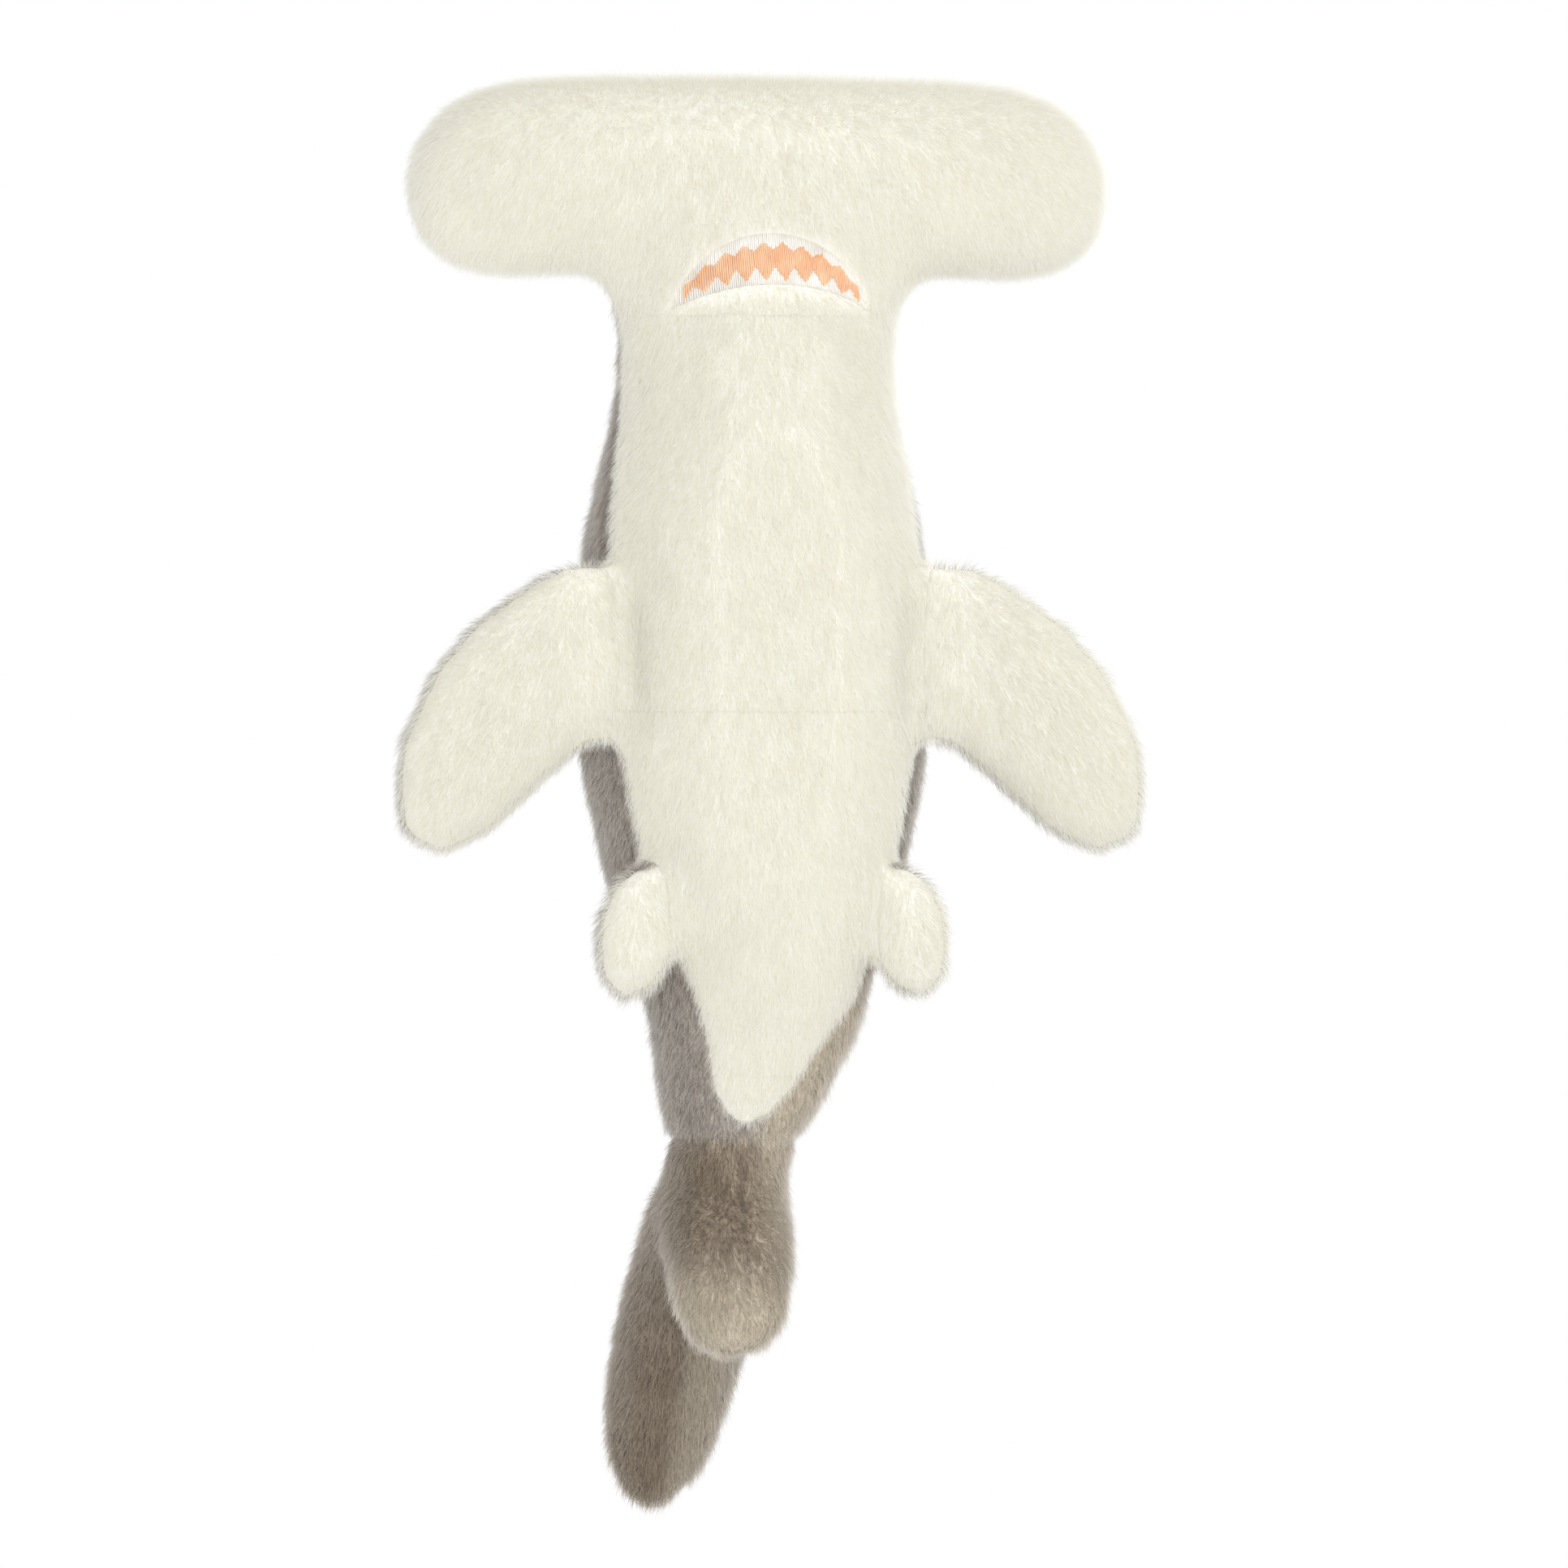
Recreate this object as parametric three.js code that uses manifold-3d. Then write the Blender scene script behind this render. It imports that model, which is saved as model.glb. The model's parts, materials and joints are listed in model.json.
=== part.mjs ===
// A stuffed hammerhead shark: sewn pile fabric panels round fibre stuffing, lying on its belly.
// Millimetres. +Z is up, +Y points from the nose to the tail, +X is the animal's left side.
// The origin is on the flat of the belly, midway between the two pectoral fins.

import * as THREE from 'three';
import { LoftGeometry } from 'three/addons/geometries/LoftGeometry.js';
import { mergeVertices } from 'three/addons/utils/BufferGeometryUtils.js';
import Module from 'manifold-3d';

const wasm = await Module();
wasm.setup();

// ---------------------------------------------------------------- driving dimensions

const PILE = 3.5;            // a fabric panel: woven backing and pile together
const GAP = 0.3;             // free space between two pieces that touch
const CLEARANCE = 0.4;       // free space between two pieces that turn on each other
const ROUNDNESS = 2.2;       // superellipse power of a stuffed section; 2 is an ellipse
const CORE_AT_LEAST = 0.5;   // half thickness kept for the stuffing where a fin runs thin
const FAR = 400;             // larger than the whole toy

// How finely the shapes are faceted.
const BODY_DETAIL = { steps: 16, sides: 20 };
const HAMMER_DETAIL = { steps: 14, sides: 12 };
const TAIL_FIN_DETAIL = { steps: 12, sides: 10 };
const FIN_DETAIL = { steps: 7, sides: 10 };
const ROUND_SIDES = 16;      // round a small turned piece
const DOME_RINGS = 4;        // from an eye's edge to its middle
const POUCH_RINGS = 10;
const MOUTH_STEPS = 16;      // along each arc of the mouth

// Body along its length: y, half width, underside z, top z.
// The underside dips below zero where the belly is pressed flat.
const BODY = [
  [-150, 38, 12, 47],
  [-120, 47, 9, 51],
  [-110, 43, 8, 54],
  [-101, 38.3, 7, 57.5],
  [-84, 36.5, 5, 63],
  [-66, 38.5, 1.5, 68.5],
  [-44, 43.5, -1.2, 74],
  [-12, 45, -1.2, 76],
  [18, 44.5, -1.2, 75],
  [38, 40.5, -0.6, 73],
  [60, 35, 2.5, 69.5],
  [84, 27, 10.5, 64],
  [99, 23, 16.5, 61.5],
  [118, 17, 20, 59],
  [134, 11.5, 25, 55],
  [150, 5, 34, 46],
];

// Hammer across the head: x, front y, rear y, underside z, top z.
const HAMMER_HALF = [
  [0, -163.5, -107, 9, 50],
  [25, -163.2, -108, 9.5, 49.5],
  [50, -162.8, -109.5, 11, 48.5],
  [70, -160.5, -110.5, 12.5, 46.5],
  [82, -155, -113, 14, 44.5],
  [88.5, -147.5, -118, 17, 41],
  [91.5, -139, -126, 23, 35],
];

// Height of the seam between back and belly fabric: y, z.
const SIDE_SEAM = [
  [-FAR, 36],
  [-112, 36],
  [-84, 34],
  [-66, 31],
  [-44, 26],
  [-36, 21],
  [14, 21],
  [24, 18],
  [86, 18],
  [114, 19.6],
  [FAR, 19.6],
];

// Joints. The neck nods about X; the two tail joints swing about Z.
const NECK = { y: -84, z: 34, radius: 29 };
const TAIL = { y: 84, radius: 27 };
const TAIL_FIN = { y: 118, radius: 17 };
const TAIL_BEND = 9;         // degrees, how far the tail lies over at rest
const TAIL_FIN_BEND = -3.5;  // and how far its fin turns back

// Tail fin from the bottom tip up: z, front y, rear y, half thickness.
const TAIL_FIN_BLADE = [
  [5, 163, 171, 4],
  [8, 155, 175, 10],
  [16, 141, 176, 14],
  [26, 127, 170, 15.5],
  [37, 119, 160, 15.5],
  [48, 119, 160, 15.5],
  [62, 128, 172, 16],
  [78, 144, 190, 16.5],
  [94, 162, 210, 15.5],
  [106, 176, 222, 12.5],
  [111, 186, 221, 7],
];

// Each fin turns on its root line. `yaw` swings that line towards the tail's centre line, `pitch` lifts its
// rear end and `droop` lets the fin hang.
// Pectoral fin from its root line outwards: distance, leading edge, trailing edge, half thickness.
const PECTORAL = { x: 45.2, y: -10, z: 16, yaw: 0, pitch: 0, droop: 7 };
const PECTORAL_BLADE = [
  [-4.5, -19, 18, 1],
  [-2.5, -24, 23, 3.7],
  [1, -26, 25, 4.6],
  [10, -22.5, 29.5, 8],
  [20, -17.5, 39, 9],
  [32, -9.5, 49.5, 8.5],
  [43, 1.5, 54, 7.5],
  [51, 16, 52.5, 5.5],
  [55.5, 28, 46, 2],
];

// Pelvic fin, laid out the same way.
const PELVIC = { x: 31, y: 57, z: 9.5, yaw: 4, pitch: 0, droop: 3 };
const PELVIC_BLADE = [
  [-3, -6, 6, 0.8],
  [-1.5, -10, 13, 2.6],
  [1, -12, 20, 3.4],
  [6, -11, 24, 6],
  [10.5, -7.5, 24.5, 6.2],
  [14, -1, 22.5, 4.8],
  [16, 6, 17, 2],
];

// Dorsal fins from the root line upwards: height, front, rear, half thickness.
const DORSAL = { y: -8, z: 80.5, pitch: -1.5 };
const DORSAL_BLADE = [
  [-4, -17, 21, 0.8],
  [-2, -22, 26, 3.3],
  [1, -24, 28, 4.2],
  [10, -18.5, 28.5, 8],
  [22, -8, 31.5, 8],
  [34, 6, 36.5, 6.5],
  [44, 19, 41, 4.8],
  [49, 28, 41.5, 1.8],
];
const REAR_DORSAL = { y: 84, z: 67.2, pitch: -12 };
const REAR_DORSAL_BLADE = [
  [-2.6, -6, 7, 0.6],
  [-1.3, -9, 10, 2.1],
  [1, -10, 11, 2.8],
  [6, -6.5, 13, 4.6],
  [12, 0, 16.5, 3.8],
  [16, 6.5, 18, 1.4],
];

// Safety eyes at the ends of the hammer, tipped up and turned forward, in degrees.
const EYE = { x: 85.2, y: -135, z: 41.3, radius: 5, dome: 4, tip: 48, forward: 10 };
const EYE_SHANK = { radius: 2, length: 11 };
const EYE_WASHER = { radius: 6.5, hole: 2.3, thickness: 1.6, depth: 5.2 };

// Embroidered mouth on the underside of the head: two arcs through the same corners.
const MOUTH = { cornerX: 26.5, cornerY: -99.5, frontY: -119.5, rearY: -106, thickness: 1.1 };

// The gum is a saw-edged band inside the mouth. Its margins are shares of the mouth's local height, and
// its teeth are full size where the mouth is at least `fullHeight` high.
const GUM = {
  teeth: 9,
  inset: 3.2,
  frontMargin: 0.14,
  rearMargin: 0.1,
  frontTooth: 1.3,
  rearTooth: 2.6,
  fullHeight: 12,
  thickness: 0.7,
};

// Pouch of plastic pellets low in the belly.
const POUCH = { y: 4, z: 16, halfWidth: 25, halfLength: 38, halfHeight: 10.5 };

// ---------------------------------------------------------------- materials

function fabric(color) {
  return new THREE.MeshStandardMaterial({ color, roughness: 0.95, metalness: 0 });
}
const GREY_PILE = fabric(0x8c8279);
const CREAM_PILE = fabric(0xefecdd);
const SATIN_THREAD = fabric(0xf7f1e9);
const GUM_THREAD = fabric(0xf2bb92);
const FIBRE = fabric(0xf6f6f3);
const POUCH_CLOTH = fabric(0xd9d6cc);
const EYE_PLASTIC = new THREE.MeshStandardMaterial({ color: 0x0a0a0c, roughness: 0.12, metalness: 0 });
const WASHER_PLASTIC = new THREE.MeshStandardMaterial({ color: 0xdad8d0, roughness: 0.5, metalness: 0 });

// ---------------------------------------------------------------- solids

function toSolid(geometry) {
  const bare = new THREE.BufferGeometry();
  bare.setAttribute('position', geometry.getAttribute('position'));
  bare.setIndex(geometry.index);
  const merged = mergeVertices(bare, 1e-4);
  return new wasm.Manifold(new wasm.Mesh({
    numProp: 3,
    vertProperties: new Float32Array(merged.attributes.position.array),
    triVerts: new Uint32Array(merged.index.array),
  }));
}

function toGeometry(solid) {
  const { vertProperties, triVerts } = solid.getMesh();
  const geometry = new THREE.BufferGeometry();
  geometry.setAttribute('position', new THREE.BufferAttribute(vertProperties, 3));
  geometry.setIndex(new THREE.BufferAttribute(triVerts, 1));
  geometry.computeVertexNormals();
  return geometry;
}

// One named mesh of the toy.
function piece(name, solid, material) {
  const mesh = new THREE.Mesh(toGeometry(solid), material);
  mesh.name = name;
  return mesh;
}

function box(min, max) {
  const [low, high] = [new THREE.Vector3(...min), new THREE.Vector3(...max)];
  const size = high.clone().sub(low);
  const centre = low.add(high).multiplyScalar(0.5);
  return toSolid(new THREE.BoxGeometry(...size).translate(...centre));
}

function rod(axis, centre, radius) {
  const geometry = new THREE.CylinderGeometry(radius, radius, FAR, 2 * ROUND_SIDES);
  if (axis === 'x') geometry.rotateZ(Math.PI / 2);
  if (axis === 'z') geometry.rotateX(Math.PI / 2);
  return toSolid(geometry.translate(...centre));
}

// A plate with this outline in the XY plane, between two heights.
function plate(shape, bottom, top) {
  const extruded = new THREE.ExtrudeGeometry(shape, { depth: top - bottom, bevelEnabled: false });
  return toSolid(extruded.translate(0, 0, bottom));
}

const EVERYWHERE = box([-FAR, -FAR, -FAR], [FAR, FAR, FAR]);

// ---------------------------------------------------------------- stuffed shapes

// Where a section's own two directions point, by the axis that the sections are strung along.
const PLACE = {
  x: (at, a, b) => new THREE.Vector3(at, a, b),
  y: (at, a, b) => new THREE.Vector3(b, at, a),
  z: (at, a, b) => new THREE.Vector3(a, b, at),
};

function soften(share) {
  return Math.sign(share) * Math.abs(share) ** (2 / ROUNDNESS);
}

// One closed section, inscribed in the rectangle a0..a1 by b0..b1.
function section(axis, [at, a0, a1, b0, b1], sides) {
  const points = [];
  for (let i = 0; i < sides; i++) {
    const angle = 2 * Math.PI * (i + 0.5) / sides;
    const a = (a0 + a1) / 2 + (a1 - a0) / 2 * soften(Math.cos(angle));
    const b = (b0 + b1) / 2 + (b1 - b0) / 2 * soften(Math.sin(angle));
    points.push(PLACE[axis](at, a, b));
  }
  return points;
}

// Both ends of a span drawn in by `by`, or by a share of it where the span is too narrow for shell and core.
function inset(low, high, by) {
  const room = (high - low) / 2 - CORE_AT_LEAST;
  const shift = by * Math.min(1, room / (PILE + GAP));
  return [low + shift, high - shift];
}

// A stuffed shape through stations [at, a0, a1, b0, b1], smoothed between them and drawn in by `shrink`.
function stuffed(axis, stations, { steps, sides, shrink, closed = true }) {
  const at = stations.map((station) => station[0]);
  const curve = new THREE.CubicInterpolant(at, stations.flatMap((station) => station.slice(1)), 4);
  const [first, last] = [at[0], at[at.length - 1]];
  const [from, to] = closed ? inset(first, last, shrink) : [first, last];
  const sections = [];
  for (let i = 0; i <= steps; i++) {
    const share = closed ? (1 - Math.cos(Math.PI * i / steps)) / 2 : i / steps;
    const [a0, a1, b0, b1] = curve.evaluate(first + (last - first) * share);
    const place = from + (to - from) * share;
    sections.push(section(axis, [place, ...inset(a0, a1, shrink), ...inset(b0, b1, shrink)], sides));
  }
  return toSolid(new LoftGeometry(sections, { capStart: true, capEnd: true }));
}

function body(shrink) {
  const stations = BODY.map(([y, half, low, high]) => [y, low, high, -half, half]);
  return stuffed('y', stations, { ...BODY_DETAIL, shrink, closed: false });
}

function hammer(shrink) {
  const mirrored = HAMMER_HALF.slice(1).reverse().map(([x, ...rest]) => [-x, ...rest]);
  return stuffed('x', [...mirrored, ...HAMMER_HALF], { ...HAMMER_DETAIL, shrink });
}

// A fin that lies flat: it runs out along X to one side, with its thickness along Z.
function flatFin(blade, side, shrink) {
  const stations = blade.map(([x, lead, trail, half]) => [side * x, lead, trail, -half, half]);
  return stuffed('x', side > 0 ? stations : stations.reverse(), { ...FIN_DETAIL, shrink });
}

// A fin that stands up: it rises along Z, with its thickness along X.
function uprightFin(blade, shrink, detail = FIN_DETAIL) {
  const stations = blade.map(([z, front, rear, half]) => [z, -half, half, front, rear]);
  return stuffed('z', stations, { ...detail, shrink });
}

// Fabric shell round a stuffing core, both made by `shape(shrink)` and kept inside `region`.
function shellAndCore(shape, region = EVERYWHERE) {
  return {
    shell: shape(0).subtract(shape(PILE)).intersect(region),
    core: shape(PILE + GAP).intersect(region),
  };
}

// ---------------------------------------------------------------- cutting planes and seams

// Everything above the side seam, raised by `offset`.
function aboveSeam(offset) {
  const outline = new THREE.Shape();
  outline.moveTo(-FAR, FAR);
  for (const [y, z] of SIDE_SEAM) outline.lineTo(y, z + offset);
  outline.lineTo(FAR, FAR);
  const region = new THREE.ExtrudeGeometry(outline, { depth: 2 * FAR, bevelEnabled: false });
  region.translate(0, 0, -FAR);
  const [x, y, z] = [new THREE.Vector3(0, 1, 0), new THREE.Vector3(0, 0, 1), new THREE.Vector3(1, 0, 0)];
  return toSolid(region.applyMatrix4(new THREE.Matrix4().makeBasis(x, y, z)));
}

const BACK_SIDE = aboveSeam(GAP / 2);
const BELLY_SIDE = EVERYWHERE.subtract(aboveSeam(-GAP / 2));
const LEFT_SIDE = box([GAP / 2, -FAR, -FAR], [FAR, FAR, FAR]);
const RIGHT_SIDE = box([-FAR, -FAR, -FAR], [-GAP / 2, FAR, FAR]);
const UPPER_SIDE = box([-FAR, -FAR, GAP / 2], [FAR, FAR, FAR]);
const UNDER_SIDE = box([-FAR, -FAR, -FAR], [FAR, FAR, -GAP / 2]);
const ABOVE_GROUND = box([-FAR, -FAR, 0], [FAR, FAR, FAR]);

function between(yMin, yMax) {
  return box([-FAR, yMin, -FAR], [FAR, yMax, FAR]);
}

const neckRod = (extra) => rod('x', [0, NECK.y, NECK.z], NECK.radius + extra);
const tailRod = (extra) => rod('z', [0, TAIL.y, 0], TAIL.radius + extra);
const tailFinRod = (extra) => rod('z', [0, TAIL_FIN.y, 0], TAIL_FIN.radius + extra);

// ---------------------------------------------------------------- head

// Takes a piece turned about Y to its place on the hammer, its outer end looking outwards.
function eyePlace(side) {
  const [tip, forward] = [EYE.tip, EYE.forward].map(THREE.MathUtils.degToRad);
  const outward = new THREE.Vector3(side * Math.cos(forward), -Math.sin(forward), Math.tan(tip)).normalize();
  const turn = new THREE.Quaternion().setFromUnitVectors(new THREE.Vector3(0, 1, 0), outward);
  const centre = new THREE.Vector3(side * EYE.x, EYE.y, EYE.z);
  return new THREE.Matrix4().compose(centre, turn, new THREE.Vector3(1, 1, 1));
}

// Domed eye with its shank, turned about Y, grown by `extra` on every side.
function eye(side, extra) {
  const radius = EYE.radius + extra;
  const profile = [new THREE.Vector2(0, -EYE_SHANK.length - extra)];
  profile.push(new THREE.Vector2(EYE_SHANK.radius + extra, -EYE_SHANK.length - extra));
  profile.push(new THREE.Vector2(EYE_SHANK.radius + extra, -extra));
  profile.push(new THREE.Vector2(radius, -extra));
  for (let i = 1; i <= DOME_RINGS; i++) {
    const angle = Math.PI / 2 * i / DOME_RINGS;
    const across = i < DOME_RINGS ? radius * Math.cos(angle) : 0;
    profile.push(new THREE.Vector2(across, (EYE.dome + extra) * Math.sin(angle)));
  }
  return toSolid(new THREE.LatheGeometry(profile, ROUND_SIDES).applyMatrix4(eyePlace(side)));
}

function washer(side) {
  const [low, high] = [-EYE_WASHER.depth - EYE_WASHER.thickness, -EYE_WASHER.depth];
  const [inner, outer] = [EYE_WASHER.hole, EYE_WASHER.radius];
  const profile = [[inner, low], [outer, low], [outer, high], [inner, high], [inner, low]];
  const points = profile.map(([r, y]) => new THREE.Vector2(r, y));
  return toSolid(new THREE.LatheGeometry(points, ROUND_SIDES).applyMatrix4(eyePlace(side)));
}

// The pocket round an eye's inner parts, open towards the fabric.
function washerPocket(side) {
  const depth = EYE_SHANK.length + GAP;
  const radius = EYE_WASHER.radius + GAP;
  const pocket = new THREE.CylinderGeometry(radius, radius, depth, ROUND_SIDES);
  return toSolid(pocket.translate(0, -depth / 2, 0).applyMatrix4(eyePlace(side)));
}

// An arc through both mouth corners and (0, y).
function mouthArc(y) {
  const rise = MOUTH.cornerY - y;
  const radius = (MOUTH.cornerX ** 2 + rise ** 2) / (2 * rise);
  return { centreY: y + radius, radius };
}

function arcPoint(arc, x) {
  return new THREE.Vector2(x, arc.centreY - Math.sqrt(Math.max(arc.radius ** 2 - x ** 2, 0)));
}

function mouthOutline() {
  const points = [];
  for (const [arc, way] of [[mouthArc(MOUTH.frontY), -1], [mouthArc(MOUTH.rearY), 1]]) {
    for (let i = 0; i < MOUTH_STEPS; i++) {
      points.push(arcPoint(arc, way * MOUTH.cornerX * Math.cos(Math.PI * i / MOUTH_STEPS)));
    }
  }
  return new THREE.Shape(points);
}

function gumOutline() {
  const [frontArc, rearArc] = [mouthArc(MOUTH.frontY), mouthArc(MOUTH.rearY)];
  const reach = MOUTH.cornerX - GUM.inset;
  const [front, rear] = [[], []];
  for (let i = 0; i <= 2 * GUM.teeth; i++) {
    const x = reach * (i / GUM.teeth - 1);
    const [frontY, rearY] = [arcPoint(frontArc, x).y, arcPoint(rearArc, x).y];
    const height = rearY - frontY;
    const bite = i % 2 ? Math.min(height / GUM.fullHeight, 1) : 0;
    front.push(new THREE.Vector2(x, frontY + GUM.frontMargin * height + GUM.frontTooth * bite));
    rear.push(new THREE.Vector2(x, rearY - GUM.rearMargin * height - GUM.rearTooth * bite));
  }
  return new THREE.Shape([...front, ...rear.reverse()]);
}

function lowered(solid, by) {
  return toSolid(toGeometry(solid).translate(0, 0, -by));
}

// A thin layer of thread lying under the head, from `near` to `far` below its skin.
function threadLayer(skin, outline, near, far) {
  const reach = plate(outline, -FAR, NECK.z);
  return lowered(skin, far).subtract(lowered(skin, near)).intersect(reach);
}

function makeHead() {
  const region = between(-FAR, NECK.y).add(neckRod(0).intersect(between(NECK.y, TAIL.y)));
  const shape = (shrink) => hammer(shrink).add(body(shrink));
  const { shell, core } = shellAndCore(shape, region);
  const eyes = eye(1, GAP).add(eye(-1, GAP));
  const pockets = washerPocket(1).add(washerPocket(-1));
  const skin = shape(0);
  const patchFar = GAP + MOUTH.thickness;
  const gumFar = patchFar + GAP + GUM.thickness;
  const group = new THREE.Group();
  group.add(
    piece('head_top_panel', shell.intersect(BACK_SIDE).subtract(eyes).subtract(pockets), GREY_PILE),
    piece('head_underside_panel', shell.intersect(BELLY_SIDE).subtract(eyes).subtract(pockets), CREAM_PILE),
    piece('mouth_patch', threadLayer(skin, mouthOutline(), GAP, patchFar), SATIN_THREAD),
    piece('gum_embroidery', threadLayer(skin, gumOutline(), patchFar + GAP, gumFar), GUM_THREAD),
    piece('head_stuffing', core.subtract(pockets), FIBRE),
  );
  for (const [label, side] of [['left', 1], ['right', -1]]) {
    group.add(piece(`eye_${label}`, eye(side, 0), EYE_PLASTIC));
    group.add(piece(`eye_washer_${label}`, washer(side), WASHER_PLASTIC));
  }
  return group;
}

// ---------------------------------------------------------------- trunk

function pouch(extra) {
  const shape = new THREE.SphereGeometry(1, ROUND_SIDES, POUCH_RINGS);
  shape.scale(POUCH.halfWidth + extra, POUCH.halfLength + extra, POUCH.halfHeight + extra);
  return toSolid(shape.translate(0, POUCH.y, POUCH.z));
}

// The pouch's hollow in the stuffing, open at the bottom so that the pouch lies on the belly panel.
function pouchHollow() {
  const well = new THREE.CylinderGeometry(1, 1, POUCH.z, ROUND_SIDES).rotateX(Math.PI / 2);
  well.scale(POUCH.halfWidth + GAP, POUCH.halfLength + GAP, 1);
  return pouch(GAP).add(toSolid(well.translate(0, POUCH.y, POUCH.z / 2)));
}

function makeTrunk() {
  const cups = neckRod(CLEARANCE).add(tailRod(CLEARANCE));
  const region = between(NECK.y, TAIL.y).intersect(ABOVE_GROUND).subtract(cups);
  const { shell, core } = shellAndCore(body, region);
  const back = shell.intersect(BACK_SIDE);
  const group = new THREE.Group();
  group.add(
    piece('back_panel_left', back.intersect(LEFT_SIDE), GREY_PILE),
    piece('back_panel_right', back.intersect(RIGHT_SIDE), GREY_PILE),
    piece('belly_panel', shell.intersect(BELLY_SIDE), CREAM_PILE),
    piece('body_stuffing', core.subtract(pouchHollow()), FIBRE),
    piece('pellet_pouch', pouch(0), POUCH_CLOTH),
  );
  return group;
}

// ---------------------------------------------------------------- tail

function makeTailStock() {
  const front = tailRod(0).intersect(between(NECK.y, TAIL.y));
  const region = between(TAIL.y, TAIL_FIN.y).add(front).subtract(tailFinRod(CLEARANCE));
  const { shell, core } = shellAndCore(body, region);
  const back = shell.intersect(BACK_SIDE);
  return [
    piece('tail_panel_left', back.intersect(LEFT_SIDE), GREY_PILE),
    piece('tail_panel_right', back.intersect(RIGHT_SIDE), GREY_PILE),
    piece('tail_belly_panel', shell.intersect(BELLY_SIDE), CREAM_PILE),
    piece('tail_stuffing', core, FIBRE),
  ];
}

function makeTailFin() {
  const region = between(TAIL_FIN.y, FAR).add(tailFinRod(0));
  const shape = (shrink) => uprightFin(TAIL_FIN_BLADE, shrink, TAIL_FIN_DETAIL).add(body(shrink));
  const { shell, core } = shellAndCore(shape, region);
  return [
    piece('tail_fin_panel_left', shell.intersect(LEFT_SIDE), GREY_PILE),
    piece('tail_fin_panel_right', shell.intersect(RIGHT_SIDE), GREY_PILE),
    piece('tail_fin_stuffing', core, FIBRE),
  ];
}

// A group that turns its pieces about a vertical line through (0, y).
function swungAbout(y, degrees, pieces) {
  const group = new THREE.Group();
  group.position.y = y;
  group.rotation.z = THREE.MathUtils.degToRad(degrees);
  const straight = new THREE.Group();
  straight.position.y = -y;
  straight.add(...pieces);
  group.add(straight);
  return group;
}

// ---------------------------------------------------------------- fins

// Upper and under panels with their filling, on one side of the body.
function makePairedFin(name, blade, mount, side) {
  const { shell, core } = shellAndCore((shrink) => flatFin(blade, side, shrink));
  const group = new THREE.Group();
  group.position.set(side * mount.x, mount.y, mount.z);
  const [pitch, droop, yaw] = [mount.pitch, side * mount.droop, side * mount.yaw].map(THREE.MathUtils.degToRad);
  group.rotation.set(pitch, droop, yaw, 'ZXY');
  group.add(
    piece(`${name}_top_panel`, shell.intersect(UPPER_SIDE), GREY_PILE),
    piece(`${name}_under_panel`, shell.intersect(UNDER_SIDE), CREAM_PILE),
    piece(`${name}_stuffing`, core, FIBRE),
  );
  return group;
}

// Left and right panels with their filling, standing on the back.
function makeUprightFin(name, blade, mount) {
  const { shell, core } = shellAndCore((shrink) => uprightFin(blade, shrink));
  const group = new THREE.Group();
  group.position.set(0, mount.y, mount.z);
  group.rotation.x = THREE.MathUtils.degToRad(mount.pitch);
  group.add(
    piece(`${name}_panel_left`, shell.intersect(LEFT_SIDE), GREY_PILE),
    piece(`${name}_panel_right`, shell.intersect(RIGHT_SIDE), GREY_PILE),
    piece(`${name}_stuffing`, core, FIBRE),
  );
  return group;
}

// ---------------------------------------------------------------- assembly

const shark = new THREE.Group();
shark.add(makeHead(), makeTrunk());

const tailFin = swungAbout(TAIL_FIN.y, TAIL_FIN_BEND, makeTailFin());
const rearDorsal = makeUprightFin('rear_dorsal', REAR_DORSAL_BLADE, REAR_DORSAL);
shark.add(swungAbout(TAIL.y, TAIL_BEND, [...makeTailStock(), tailFin, rearDorsal]));

for (const [label, side] of [['left', 1], ['right', -1]]) {
  shark.add(makePairedFin(`pectoral_${label}`, PECTORAL_BLADE, PECTORAL, side));
  shark.add(makePairedFin(`pelvic_${label}`, PELVIC_BLADE, PELVIC, side));
}
shark.add(makeUprightFin('dorsal', DORSAL_BLADE, DORSAL));

export default shark;
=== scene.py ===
"""A stuffed hammerhead shark in grey and cream pile fabric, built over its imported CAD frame.

Metres. +Z is up and +Y points from the nose to the tail. The skins are made from the CAD solids: their
union is remeshed, puffed out by a cloth simulation, cut along the seams and grown with pile.
"""

import json
import math
from contextlib import contextmanager
from functools import partial

import bmesh
import bpy
import numpy as np
from mathutils import Matrix, Vector, noise
from mathutils.bvhtree import BVHTree

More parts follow.
